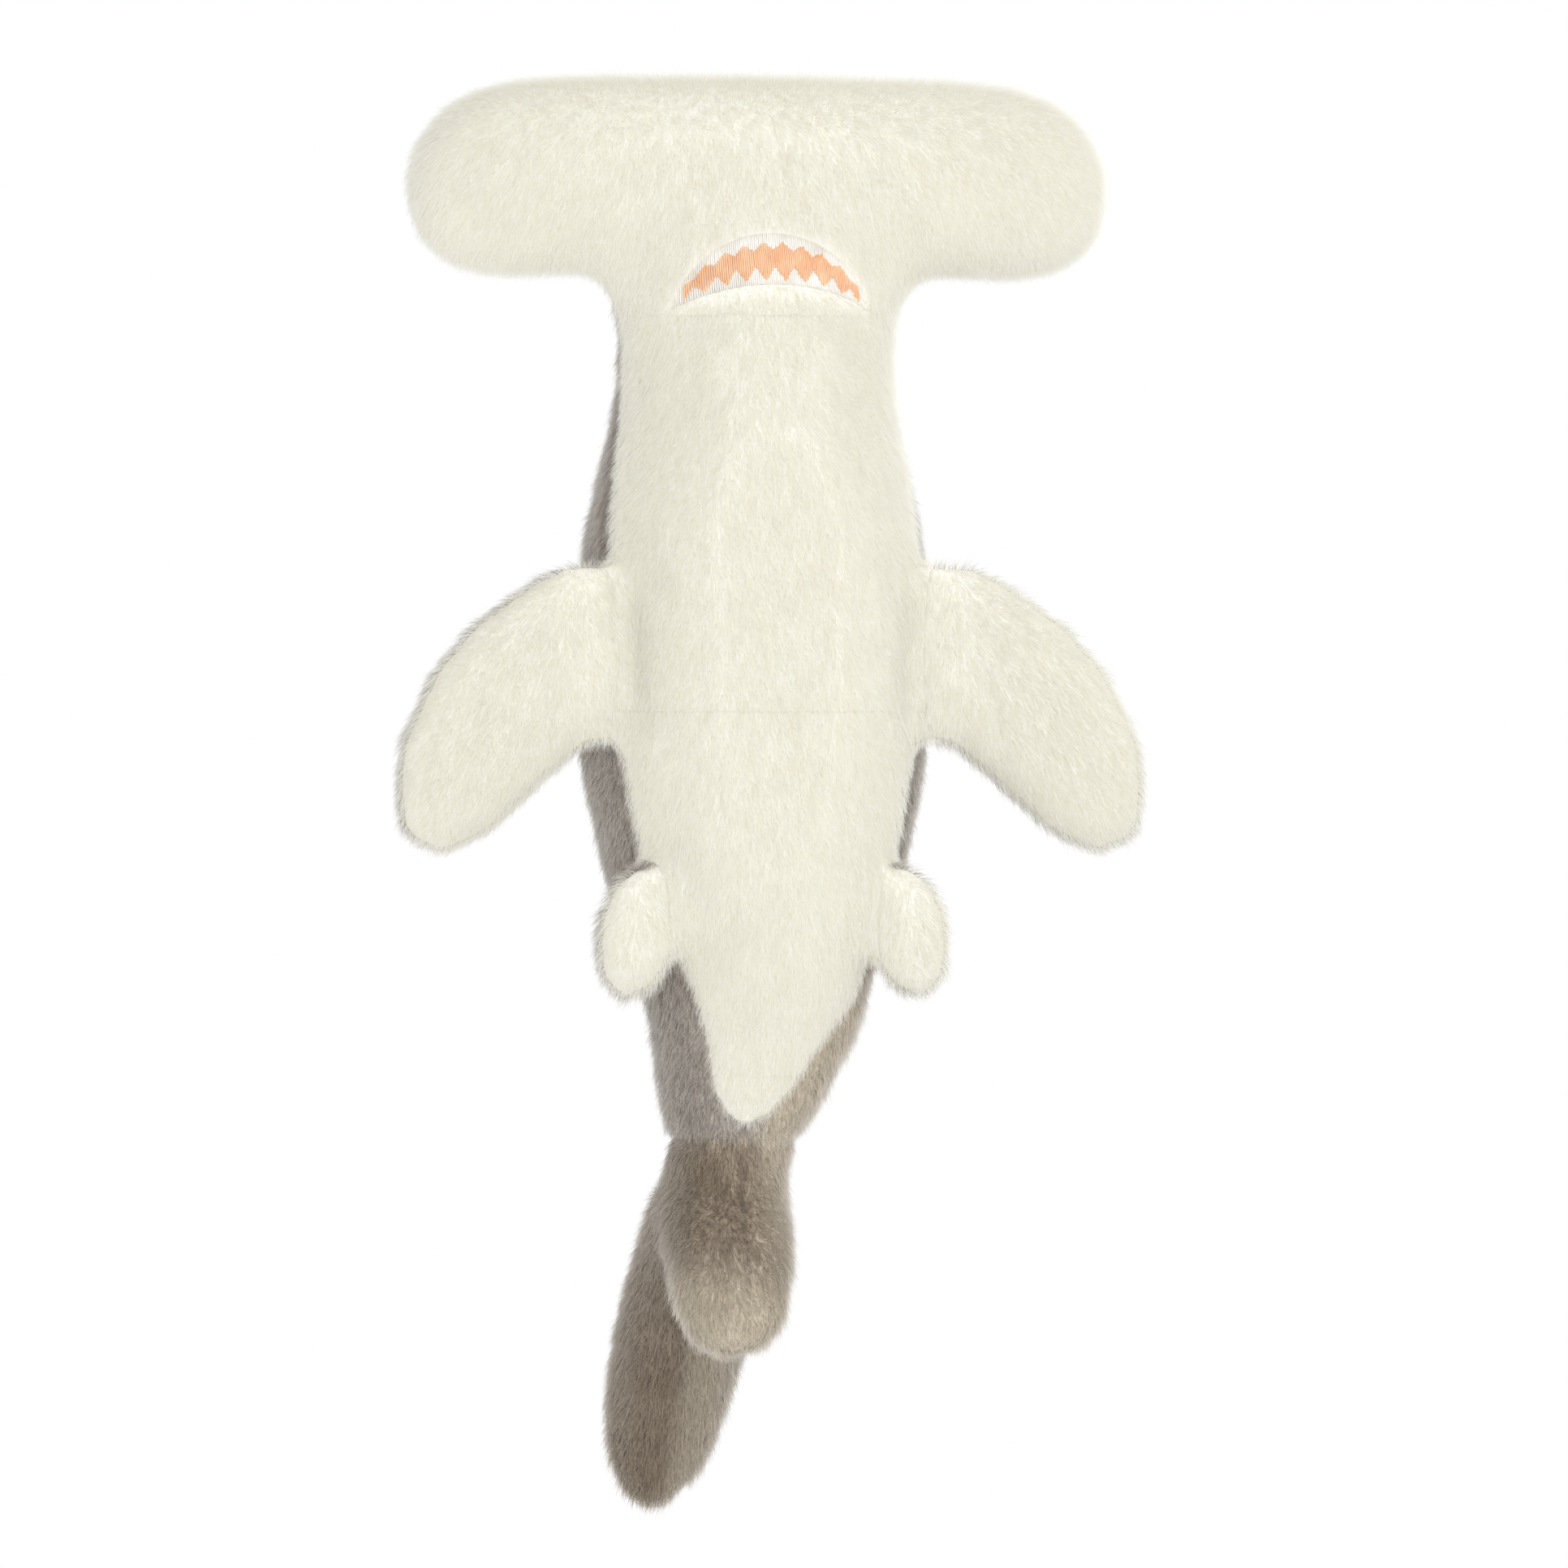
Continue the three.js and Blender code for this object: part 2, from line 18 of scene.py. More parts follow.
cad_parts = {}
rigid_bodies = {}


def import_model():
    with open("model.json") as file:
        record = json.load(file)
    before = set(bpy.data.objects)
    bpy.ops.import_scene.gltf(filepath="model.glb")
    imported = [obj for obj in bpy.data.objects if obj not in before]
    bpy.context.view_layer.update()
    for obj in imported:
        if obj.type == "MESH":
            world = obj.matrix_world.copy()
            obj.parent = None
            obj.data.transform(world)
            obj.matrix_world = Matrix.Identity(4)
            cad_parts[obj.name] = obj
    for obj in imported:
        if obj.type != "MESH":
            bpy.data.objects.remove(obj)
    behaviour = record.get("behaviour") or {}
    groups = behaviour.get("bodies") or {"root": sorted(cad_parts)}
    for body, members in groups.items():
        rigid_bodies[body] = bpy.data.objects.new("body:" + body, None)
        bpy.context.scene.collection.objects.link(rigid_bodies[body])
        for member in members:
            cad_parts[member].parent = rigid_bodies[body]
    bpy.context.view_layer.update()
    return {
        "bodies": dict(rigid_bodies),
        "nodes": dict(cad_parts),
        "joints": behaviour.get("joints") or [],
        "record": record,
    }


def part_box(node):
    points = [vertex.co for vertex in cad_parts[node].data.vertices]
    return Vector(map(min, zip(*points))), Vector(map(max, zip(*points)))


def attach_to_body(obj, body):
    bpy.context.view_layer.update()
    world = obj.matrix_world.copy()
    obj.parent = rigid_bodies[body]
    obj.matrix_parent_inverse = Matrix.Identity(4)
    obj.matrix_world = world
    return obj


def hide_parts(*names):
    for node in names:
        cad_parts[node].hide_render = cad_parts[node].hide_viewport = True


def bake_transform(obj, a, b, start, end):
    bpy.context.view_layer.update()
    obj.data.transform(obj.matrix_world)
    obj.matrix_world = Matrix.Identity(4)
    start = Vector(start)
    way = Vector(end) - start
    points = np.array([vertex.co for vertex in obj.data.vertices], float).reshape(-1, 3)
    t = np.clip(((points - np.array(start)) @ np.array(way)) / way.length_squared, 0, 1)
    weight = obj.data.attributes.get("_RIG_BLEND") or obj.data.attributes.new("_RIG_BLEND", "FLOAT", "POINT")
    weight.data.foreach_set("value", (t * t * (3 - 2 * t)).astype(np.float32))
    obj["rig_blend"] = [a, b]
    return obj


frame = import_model()
NODES = frame["nodes"]
JOINTS = {joint["child"]: joint for joint in frame["joints"]}
SCENE = bpy.context.scene

# -------------------------------- driving values

MM = 0.001
BODY_VOXEL = 2.8 * MM        # mesh size of the stuffed body before it is subdivided
BODY_SMOOTHING = 70          # passes, which also round the corners where fins and hammer meet the body
FIN_SMOOTHING = 25
WAIST_SMOOTHING = 160        # passes more at the tail's waist, behind the hammer and on the dorsal fin's tip
WAIST_REACH = 9 * MM
HAMMER_CORNER = (42 * MM, -105 * MM)
CORNER_REACH = 14 * MM
BACKING_DEPTH = 0.2 * MM     # how far the woven backing lies inside the CAD surface, which includes the pile
FABRIC = 1.0 * MM            # thickness of the backing
FILLING_SIZE = 0.94          # of each filling, against its CAD solid
FILLING_ROOM = FABRIC + 1.0 * MM         # between the outside of a skin and the filling under it
PRESSURE = 4.0               # of the stuffing on the fabric, in the cloth simulation
PRESSURE_FRAMES = 20
PUFF_LIMIT = 2.0 * MM        # the furthest that the simulation may move a point
ROOT_REACH = 6 * MM          # how much deeper into the body than its CAD solid a fin's root reaches

SEAM_DEPTH = 0.9 * MM        # how far a sewn seam pulls the fabric in
SEAM_WIDTH = 1.7 * MM
MOUTH_DEPTH = 0.8 * MM       # how far the embroidery pulls the fabric in
GROUND_CLEARANCE = 0.6 * MM
EYE_SEAT = 0.3 * MM          # how far the fabric lies below an eye's rim
TUFT_RELIEF = 0.35 * MM
TUFT_LENGTH = 5.0 * MM
TUFT_BREADTH = 1.8 * MM

PILE_LENGTH = 5.0 * MM
PILE_PER_M2 = 4.5e6
STRAND_RADIUS = 0.04 * MM
STRAND_POINTS = 4
CLUMP = {"cream": 0.3, "grey": 0.75}     # how unevenly the pile lies over the fabric
STRAY = 0.28                 # and how far each strand strays from its neighbours
PATCHES = 55                 # noise scales: of broad patches, fine ones, and the backing's streaks
FINE_PATCHES = 260
STREAKS = 900
HAMMER_FLARE = 0.55          # how far the pile on the hammer lies outwards, in full at this far to the side
HAMMER_FLARE_AT = 70 * MM
FAN = 0.7                    # how far the pile on the tail fin lies up and down from its middle height
FAN_MIDDLE = 42 * MM
FAN_REACH = 40 * MM
STRAND_CURVE = 1.6           # power that bends a strand over towards its tip
STRAND_UP = (0.85, -0.32)    # shares of its straight and its bent part: in how far it rises,
STRAND_OVER = (0.2, 0.55)    # and in how far it lies over
BARE = 0.03                  # fabric whose pile is shorter than this share grows none
# Painted shade: the cream fins' pile is darkened a little by the second palette; grey fins get none.
FIN_PAINTED_SHADE = {"cream": 0.3, "grey": 0}    # share of the second palette in the fins' pile

# Bends of the fabric about each joint of the body's length: how far ahead of and behind the joint it runs.
NECK_BEND = (14 * MM, 18 * MM)
TAIL_BEND = (6 * MM, 18 * MM)
TAIL_FIN_BEND = (15.6 * MM, 16.4 * MM)
MIDDLE = 6 * MM              # where the front and rear skins of the trunk meet
CREAM_END = 8 * MM           # how far behind the tail fin's joint the tail's cream panel ends
FAR = 1.0                    # beyond either end of the toy

# Fins. Where the cloth starts and stops turning with the fin, out from its root line; and by how many degrees
# the cut at its root leans outwards with the flank, to leave the flank whole.
FINS = {}
for side_name in ("left", "right"):
    FINS[f"pelvic_{side_name}"] = {"bend": (2 * MM, 9 * MM), "lean": 35, "halves": ("top", "under")}
for side_name in ("left", "right"):
    FINS[f"pectoral_{side_name}"] = {"bend": (2 * MM, 19 * MM), "lean": 25, "halves": ("top", "under")}
FINS["dorsal"] = {"bend": (1 * MM, 16 * MM), "lean": 0, "halves": ("left", "right")}
FIN_MARGIN = 2.5 * MM        # how far past its CAD box a fin's cloth may reach

# The rear dorsal fin stands over the tail joint, so it is a shape of its own that stands in the back.
REAR_DORSAL = {"voxel": 1.3 * MM, "bend": (0 * MM, 7 * MM), "halves": ("left", "right")}

# -------------------------------- small helpers


def joint_at(child):
    return Vector(JOINTS[child]["pos_m"])


NECK_Y = joint_at("head").y
TAIL_Y = joint_at("tail_stock").y
TAIL_FIN_Y = joint_at("tail_fin").y
HEAD_END = NECK_Y - NECK_BEND[0]
TAIL_START = TAIL_Y + TAIL_BEND[1]
TAIL_FIN_START = TAIL_FIN_Y + TAIL_FIN_BEND[1]


def link(name, data):
    thing = bpy.data.objects.new(name, data)
    SCENE.collection.objects.link(thing)
    return thing


def vectors(elements, field):
    """One vector of each element of a mesh, as the rows of an array."""
    flat = np.empty(3 * len(elements), np.float32)
    elements.foreach_get(field, flat)
    return flat.reshape(-1, 3).astype(float)


def coordinates(mesh):
    return vectors(mesh.vertices, "co")


def normals(mesh):
    return vectors(mesh.vertex_normals, "vector")


def set_coordinates(mesh, points):
    mesh.vertices.foreach_set("co", np.asarray(points, np.float32).ravel())
    mesh.update()


@contextmanager
def editing(mesh):
    """The mesh as a bmesh, written back at the end."""
    work = bmesh.new()
    work.from_mesh(mesh)
    yield work
    work.to_mesh(mesh)
    work.free()


def new_mesh(name, work):
    mesh = bpy.data.meshes.new(name)
    work.to_mesh(mesh)
    work.free()
    return mesh


def smooth_mesh(name, work, material):
    bmesh.ops.recalc_face_normals(work, faces=work.faces)
    mesh = new_mesh(name, work)
    mesh.polygons.foreach_set("use_smooth", np.ones(len(mesh.polygons), bool))
    mesh.materials.append(material)
    return mesh


def everything(work):
    return work.verts[:] + work.edges[:] + work.faces[:]


def bisect(work, geometry, at, way):
    bmesh.ops.bisect_plane(work, geom=geometry, plane_co=at, plane_no=way, dist=1e-5)


def tree_of(mesh):
    """The mesh as a tree, for finding the nearest spot on it."""
    work = bmesh.new()
    work.from_mesh(mesh)
    tree = BVHTree.FromBMesh(work)
    work.free()
    return tree


def smoothstep(value, low, high):
    share = np.clip((value - low) / (high - low), 0, 1)
    return share * share * (3 - 2 * share)


def from_plane(points, at, way):
    """How far each point lies from a plane, on the side that `way` points to."""
    return (points - np.array(at)) @ np.array(way)


def apply_modifiers(thing):
    bpy.context.view_layer.update()
    graph = bpy.context.evaluated_depsgraph_get()
    mesh = bpy.data.meshes.new_from_object(thing.evaluated_get(graph), depsgraph=graph)
    thing.modifiers.clear()
    thing.data = mesh
    return thing


def node_centre(name):
    return Vector(coordinates(NODES[name].data).mean(axis=0))


# The toy's own centre line, which lies over to one side behind the tail joint: y and x.
TAIL_TIP = (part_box("tail_fin_stuffing")[0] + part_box("tail_fin_stuffing")[1]) / 2
CENTRE_LINE = [(-FAR, 0), (TAIL_Y, 0), (TAIL_FIN_Y, joint_at("tail_fin").x), (TAIL_TIP.y, TAIL_TIP.x)]
TAIL_SLOPE = (TAIL_TIP.x - joint_at("tail_fin").x) / (TAIL_TIP.y - TAIL_FIN_Y)
CENTRE_LINE.append((FAR, TAIL_TIP.x + (FAR - TAIL_TIP.y) * TAIL_SLOPE))


def panel_edge(name, front, rear):
    """Lowest point of a panel between two places along the body."""
    points = coordinates(NODES[name].data)
    return points[(points[:, 1] > front) & (points[:, 1] < rear)][:, 2].min()


FIN_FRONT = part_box("pectoral_left_stuffing")[0].y
FIN_REAR = joint_at("pectoral_left").y + 24 * MM
HEAD_SEAM = panel_edge("head_top_panel", -FAR, NECK_Y - 28 * MM)
FIN_SEAM = joint_at("pectoral_left").z + 3 * MM
BODY_SEAM = panel_edge("back_panel_left", FIN_REAR, FAR)

# Height of the seam between grey and cream along the body: y and z.
SIDE_SEAM = [
    (-FAR, HEAD_SEAM), (NECK_Y - 28 * MM, HEAD_SEAM), (NECK_Y, HEAD_SEAM - 2 * MM),
    (FIN_FRONT - 8 * MM, FIN_SEAM + 5 * MM), (FIN_FRONT, FIN_SEAM), (FIN_REAR, FIN_SEAM),
    (FIN_REAR + 10 * MM, BODY_SEAM), (TAIL_Y - 20 * MM, BODY_SEAM), (TAIL_Y, BODY_SEAM + 1 * MM),
    (TAIL_FIN_Y, BODY_SEAM + 4 * MM), (FAR, BODY_SEAM + 4 * MM),
]


def centre_x(y):
    return np.interp(y, *zip(*CENTRE_LINE))


def seam_z(y):
    return np.interp(y, *zip(*SIDE_SEAM))


# -------------------------------- fins' own frames


class FinPlace:
    """A fin's root line, the way out from it and the way across its thickness."""

    def __init__(self, name):
        self.root = joint_at(name)
        self.along = Vector(JOINTS[name]["axis"]).normalized()
        out = node_centre(f"{name}_stuffing") - self.root
        self.out = (out - out.dot(self.along) * self.along).normalized()
        across = self.along.cross(self.out)
        upwards = Vector((1, 0, 0)) if "dorsal" in name else Vector((0, 0, 1))
        self.across = across if across.dot(upwards) > 0 else -across
        lean = math.radians(FINS[name]["lean"] if name in FINS else 0)
        self.cut_at = self.root - self.out * 1 * MM
        self.cut_way = self.out * math.cos(lean) - self.across * math.sin(lean)
        corners = [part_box(node) for node in nodes_of(name)]
        self.low = np.min([low for low, high in corners], axis=0) - FIN_MARGIN
        self.high = np.max([high for low, high in corners], axis=0) + FIN_MARGIN

    def distance(self, points):
        return from_plane(points, self.root, self.out)

    def above(self, points):
        return from_plane(points, self.root, self.across) > 0

    def holds(self, points):
        """Which points are on the fin, beyond the cut at its root."""
        beyond = from_plane(points, self.cut_at, self.cut_way) > 0
        return beyond & (points > self.low).all(axis=1) & (points < self.high).all(axis=1)


def nodes_of(body):
    return frame["record"]["behaviour"]["bodies"][body]


PLACES = {name: FinPlace(name) for name in [*FINS, "rear_dorsal"]}


def cad_copy(names):
    mesh = bmesh.new()
    for name in names:
        mesh.from_mesh(NODES[name].data)
    bmesh.ops.remove_doubles(mesh, verts=mesh.verts, dist=1e-6)
    return mesh


def fin_copy(name):
    """A fin's solids, their root drawn out so that it reaches into the body."""
    place = PLACES[name]
    mesh = cad_copy(nodes_of(name))
    for vertex in mesh.verts:
        reach = (vertex.co - place.root).dot(place.out)
        vertex.co -= place.out * float(smoothstep(reach, 1 * MM, -2 * MM)) * ROOT_REACH
    return mesh


def joined(name, parts):
    merged = bmesh.new()
    for part in parts:
        merged.from_mesh(new_mesh(name, part))
    bmesh.ops.triangulate(merged, faces=merged.faces)
    return link(name, new_mesh(name, merged))


# -------------------------------- stuffed shapes


def keep_largest(mesh):
    """Drops the small closed pockets that the remesh leaves inside."""
    with editing(mesh) as work:
        left, shells = set(work.verts), []
        while left:
            shell, queue = [], [left.pop()]
            while queue:
                vertex = queue.pop()
                shell.append(vertex)
                others = {edge.other_vert(vertex) for edge in vertex.link_edges} & left
                left -= others
                queue.extend(others)
            shells.append(shell)
        shells.sort(key=len)
        pockets = [vertex for shell in shells[:-1] for vertex in shell]
        bmesh.ops.delete(work, geom=pockets, context="VERTS")


def relax(mesh, passes, factors=(0.6, -0.61), where=1.0):
    """Smooths a mesh. With both factors it keeps its size, because each pass also drives the points back."""
    flat = np.empty(2 * len(mesh.edges), np.int32)
    mesh.edges.foreach_get("vertices", flat)
    one, other = flat.reshape(-1, 2).T
    count = len(mesh.vertices)
    neighbours = np.bincount(one, minlength=count) + np.bincount(other, minlength=count)
    points = coordinates(mesh)
    for _ in range(passes):
        for factor in factors:
            total = [np.bincount(one, along[other], count) + np.bincount(other, along[one], count)
                     for along in points.T]
            points += factor * where * (np.column_stack(total) / neighbours[:, None] - points)
    set_coordinates(mesh, points)


def inflate(thing):
    """Cloth simulation: pressure from inside rounds the fabric out. The result is kept on the mesh."""
    rest = coordinates(thing.data)
    cloth = thing.modifiers.new("pressure", "CLOTH")
    cloth.settings.use_pressure = True
    cloth.settings.uniform_pressure_force = PRESSURE
    cloth.settings.effector_weights.gravity = 0
    cloth.point_cache.frame_end = PRESSURE_FRAMES
    for number in range(1, PRESSURE_FRAMES + 1):
        SCENE.frame_set(number)
    graph = bpy.context.evaluated_depsgraph_get()
    move = coordinates(thing.evaluated_get(graph).data) - rest
    thing.modifiers.remove(cloth)
    SCENE.frame_set(1)
    move -= move.mean(axis=0)
    length = np.linalg.norm(move, axis=1, keepdims=True)
    set_coordinates(thing.data, rest + move * np.minimum(1, PUFF_LIMIT / np.maximum(length, 1e-9)))


def stuffed(thing, voxel, smoothing):
    """Turns joined CAD solids into one smooth stuffed shape, its surface where the woven backing is."""
    remesh = thing.modifiers.new("remesh", "REMESH")
    remesh.mode = "VOXEL"
    remesh.voxel_size = voxel
    apply_modifiers(thing)
    keep_largest(thing.data)
    relax(thing.data, smoothing)
    swelling = PUFF_LIMIT / 6
    points = coordinates(thing.data) - normals(thing.data) * (BACKING_DEPTH / 2 + swelling)
    set_coordinates(thing.data, points)
    inflate(thing)
    thing.modifiers.new("subdivide", "SUBSURF").levels = 1
    return apply_modifiers(thing)


def tufts(points, flow):
    """Relief of the pile: noise drawn out along the way it lies."""
    along = (points @ flow)[:, None] * flow
    stretched = points / TUFT_BREADTH + along * (1 / TUFT_LENGTH - 1 / TUFT_BREADTH)
    return np.array([noise.noise(Vector(point)) for point in stretched])


# -------------------------------- body

BODY_PARTS = ["trunk", "head", "tail_stock", "tail_fin"]
FLOW = np.array([0.0, 1.0, 0.0])


def body_solids():
    names = [name for body in BODY_PARTS for name in nodes_of(body)]
    kept = [name for name in names if not name.startswith(("eye", "mouth", "gum"))]
    return [cad_copy(kept)] + [fin_copy(name) for name in FINS]


def on_underside(points):
    return points[:, 2] < HEAD_SEAM - 8 * MM


class Mouth:
    """Outline of the embroidered mouth: two arcs through the same corners, as its CAD layer has it."""

    def __init__(self):
        low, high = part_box("mouth_patch")
        points = coordinates(NODES["mouth_patch"].data)
        self.half_width = high.x
        self.corner = high.y
        self.front_middle = low.y
        self.rear_middle = points[np.abs(points[:, 0]) < 3 * MM][:, 1].max()

    def arc(self, x, middle):
        rise = self.corner - middle
        radius = (self.half_width**2 + rise**2) / (2 * rise)
        return middle + radius - np.sqrt(np.maximum(radius**2 - np.square(x), 0))

    def front(self, x):
        return self.arc(x, self.front_middle)

    def rear(self, x):
        return self.arc(x, self.rear_middle)

    def share(self, points):
        """How far into the mouth a point on the head's underside lies, in metres; below 0 outside."""
        x, y = points[:, 0], points[:, 1]
        inside = np.minimum(y - self.front(x), self.rear(x) - y)
        inside = np.minimum(inside, self.half_width - np.abs(x))
        return np.where(on_underside(points), inside, -1)

    def behind(self, points):
        """How far behind the mouth's rear edge a point lies, in metres."""
        return points[:, 1] - self.rear(np.clip(points[:, 0], -self.half_width, self.half_width))


MOUTH = Mouth()


class Eye:
    def __init__(self, side):
        self.name = f"eye_{side}"
        self.axis = (node_centre(self.name) - node_centre(f"eye_washer_{side}")).normalized()
        points = coordinates(NODES[self.name].data)
        heights = from_plane(points, node_centre(self.name), self.axis)
        self.tip = Vector(points[heights.argmax()])
        radii = np.linalg.norm(np.cross(points - np.array(self.tip), np.array(self.axis)), axis=1)
        self.radius = float(radii.max())
        rim = points[radii > 0.95 * self.radius]
        self.dome = float(((np.array(self.tip) - rim) @ np.array(self.axis)).max())
        self.base = self.tip - self.axis * self.dome
        self.depth = float(heights.max() - heights.min()) - self.dome


EYES = [Eye("left"), Eye("right")]


def body_seams(points, width):
    """How near each point is to a sewn seam of the body: 1 on it, 0 well away from it."""
    x, y, z = points.T
    side = z - seam_z(y)
    middle = x - centre_x(y)
    on_fin = smoothstep(y, TAIL_FIN_Y, TAIL_FIN_Y + 12 * MM)
    side_seam = np.exp(-((side / width) ** 2)) * (1 - on_fin)
    back_seam = np.exp(-((middle / width) ** 2)) * (side > 0)
    fin_seam = np.exp(-((middle / width) ** 2)) * on_fin * (side <= 0)
    tail_seam = np.exp(-(((y - TAIL_FIN_Y) / width) ** 2))
    return np.maximum.reduce([0.8 * side_seam, 0.6 * back_seam, 0.8 * fin_seam, tail_seam])


def shape_body(mesh):
    """Draws the seams in, seats the eyes and the mouth, and raises the tufts."""
    points, outwards = coordinates(mesh), normals(mesh)
    inwards = SEAM_DEPTH * body_seams(points, SEAM_WIDTH)
    inwards = np.maximum(inwards, MOUTH_DEPTH * smoothstep(MOUTH.share(points), -1.5 * MM, 1 * MM))
    relief = TUFT_RELIEF * tufts(points, FLOW) * (1 - smoothstep(MOUTH.share(points), -2 * MM, 0))
    points += outwards * (relief - inwards)[:, None]
    for eye in EYES:
        height = from_plane(points, eye.base, eye.axis)
        away = np.linalg.norm(points - np.array(eye.base) - height[:, None] * np.array(eye.axis), axis=1)
        near = (1 - smoothstep(away, eye.radius, 3 * eye.radius)) * (np.abs(height) < 2.5 * eye.radius)
        points -= (near * (height + EYE_SEAT))[:, None] * np.array(eye.axis)
    points[:, 2] = np.maximum(points[:, 2], GROUND_CLEARANCE)
    set_coordinates(mesh, points)


def seam_offset(points):
    """From straight seams to the toy's own, which follow its centre line and side seam."""
    return np.column_stack([centre_x(points[:, 1]), np.zeros(len(points)), seam_z(points[:, 1])])


def cut_along_seams(mesh):
    """Adds edges along every seam and every cut across the body."""
    points = coordinates(mesh)
    set_coordinates(mesh, points - seam_offset(points))
    planes = [((0, y, 0), (0, 1, 0)) for y in (HEAD_END, MIDDLE, TAIL_START, TAIL_FIN_START)]
    planes += [((0, 0, 0), (0, 0, 1)), ((0, 0, 0), (1, 0, 0))]
    with editing(mesh) as work:
        for at, way in planes:
            bisect(work, everything(work), at, way)
    points = coordinates(mesh)
    set_coordinates(mesh, points + seam_offset(points))


def cut_round_fins(mesh):
    """Adds edges round each fin's root, and between its two panels."""
    margin = 6 * MM

    def is_near(vertex, place):
        return all(low - margin < value < high + margin
                   for low, value, high in zip(place.low, vertex.co, place.high))

    with editing(mesh) as work:
        for name in FINS:
            place = PLACES[name]
            for at, way in ((place.cut_at, place.cut_way), (place.root, place.across)):
                near = [vertex for vertex in work.verts if is_near(vertex, place)]
                faces = list({face for vertex in near for face in vertex.link_faces})
                edges = list({edge for face in faces for edge in face.edges})
                corners = list({vertex for face in faces for vertex in face.verts})
                bisect(work, corners + edges + faces, at, way)


def fin_at(points):
    """The number of the fin that each point is on, or -1 on the body."""
    number = np.full(len(points), -1)
    for index, name in reversed(list(enumerate(FINS))):
        number[PLACES[name].holds(points)] = index
    return number


def is_on_fin(index, points):
    return fin_at(points) == index


def part_of(name, mesh, faces, centres, wanted):
    """The faces of a mesh that are wanted, as an object of their own that keeps which way the whole faced."""
    kept = [faces[index] for index in np.flatnonzero(wanted(centres))]
    used = np.unique(np.concatenate([np.array(face) for face in kept]))
    place = np.zeros(len(mesh.vertices), int)
    place[used] = np.arange(len(used))
    part = bpy.data.meshes.new(name)
    part.from_pydata(coordinates(mesh)[used], [], [place[list(face)].tolist() for face in kept])
    store(part, "facing", normals(mesh)[used])
    return link(name, part)


def split(mesh, regions):
    faces = [tuple(face.vertices) for face in mesh.polygons]
    centres = vectors(mesh.polygons, "center")
    return {name: part_of(name, mesh, faces, centres, wanted) for name, wanted in regions.items()}


# -------------------------------- skins


def thicken(thing):
    """Gives a skin its thickness. Returns how many of its vertices lie on the outside: they come first."""
    outside = len(thing.data.vertices)
    solidify = thing.modifiers.new("thickness", "SOLIDIFY")
    solidify.thickness = FABRIC
    solidify.offset = -1
    apply_modifiers(thing)
    return outside


def store(mesh, name, values):
    kind, field = ("FLOAT_VECTOR", "vector") if values.ndim == 2 else ("FLOAT", "value")
    attribute = mesh.attributes.new(name, kind, "POINT")
    attribute.data.foreach_set(field, values.astype(np.float32).ravel())


def dress(thing, material, pile, comb, tone, paler):
    """Finishes a skin: its thickness, material, and what its pile grows by.

    pile(points) is the pile's length as a share, comb(points) the way it lies. The next function gives its
    share of the
    second palette: the tail's browner fabric on grey pile, painted shade on cream pile. The last, of points
    and outwards, gives its share of the lighter palette, partly nap brushed the other way and partly painted
    light.
    """
    outside = thicken(thing)
    mesh = thing.data
    on_rim = [len({corner < outside for corner in face.vertices}) == 2 for face in mesh.polygons]
    mesh.polygons.foreach_set("use_smooth", ~np.array(on_rim))
    points = coordinates(mesh)
    length = pile(points)
    length[outside:] = 0
    store(mesh, "pile", length)
    store(mesh, "comb", comb(points))
    store(mesh, "rest", points)
    store(mesh, "tone", tone(points))
    store(mesh, "paler", paler(points, normals(mesh)))
    mesh.materials.clear()
    mesh.materials.append(material)
    return thing


def body_pile(points):
    length = 1 - 0.4 * body_seams(points, 1.6 * SEAM_WIDTH)
    for eye in EYES:
        away = np.linalg.norm(points - np.array(eye.base), axis=1)
        length *= smoothstep(away, 0.8 * eye.radius, 1.7 * eye.radius)
    inside, behind = MOUTH.share(points), MOUTH.behind(points)
    return length * np.maximum(1 - smoothstep(inside, -2.2 * MM, -0.4 * MM), smoothstep(behind, -1 * MM, 0))


def body_comb(points):
    comb = np.tile(FLOW, (len(points), 1))
    hammer = 1 - smoothstep(points[:, 1], HEAD_END - 30 * MM, HEAD_END)
    comb[:, 0] += HAMMER_FLARE * hammer * np.clip(points[:, 0] / HAMMER_FLARE_AT, -1, 1)
    on_fin = smoothstep(points[:, 1], TAIL_FIN_Y, TAIL_FIN_START + 10 * MM)
    comb[:, 2] += FAN * on_fin * np.clip((points[:, 2] - FAN_MIDDLE) / FAN_REACH, -1, 1)
    step = 5 * MM
    comb[:, 0] += (centre_x(points[:, 1] + step) - centre_x(points[:, 1])) / step
    behind = MOUTH.behind(points)
    at_mouth = (behind > -2 * MM) & (np.abs(points[:, 0]) < MOUTH.half_width) & on_underside(points)
    comb[at_mouth] *= 0.4 + 0.6 * smoothstep(behind[at_mouth], -1 * MM, 3 * MM)[:, None]
    return comb


# The tail fin's browner grey pile, the fabric's own colour; the same share gives cream pile a painted shade
# where it reaches the tail fin.
def body_tone_and_shade(points):
    return smoothstep(points[:, 1], TAIL_FIN_Y - 2 * MM, TAIL_FIN_Y + 3 * MM)


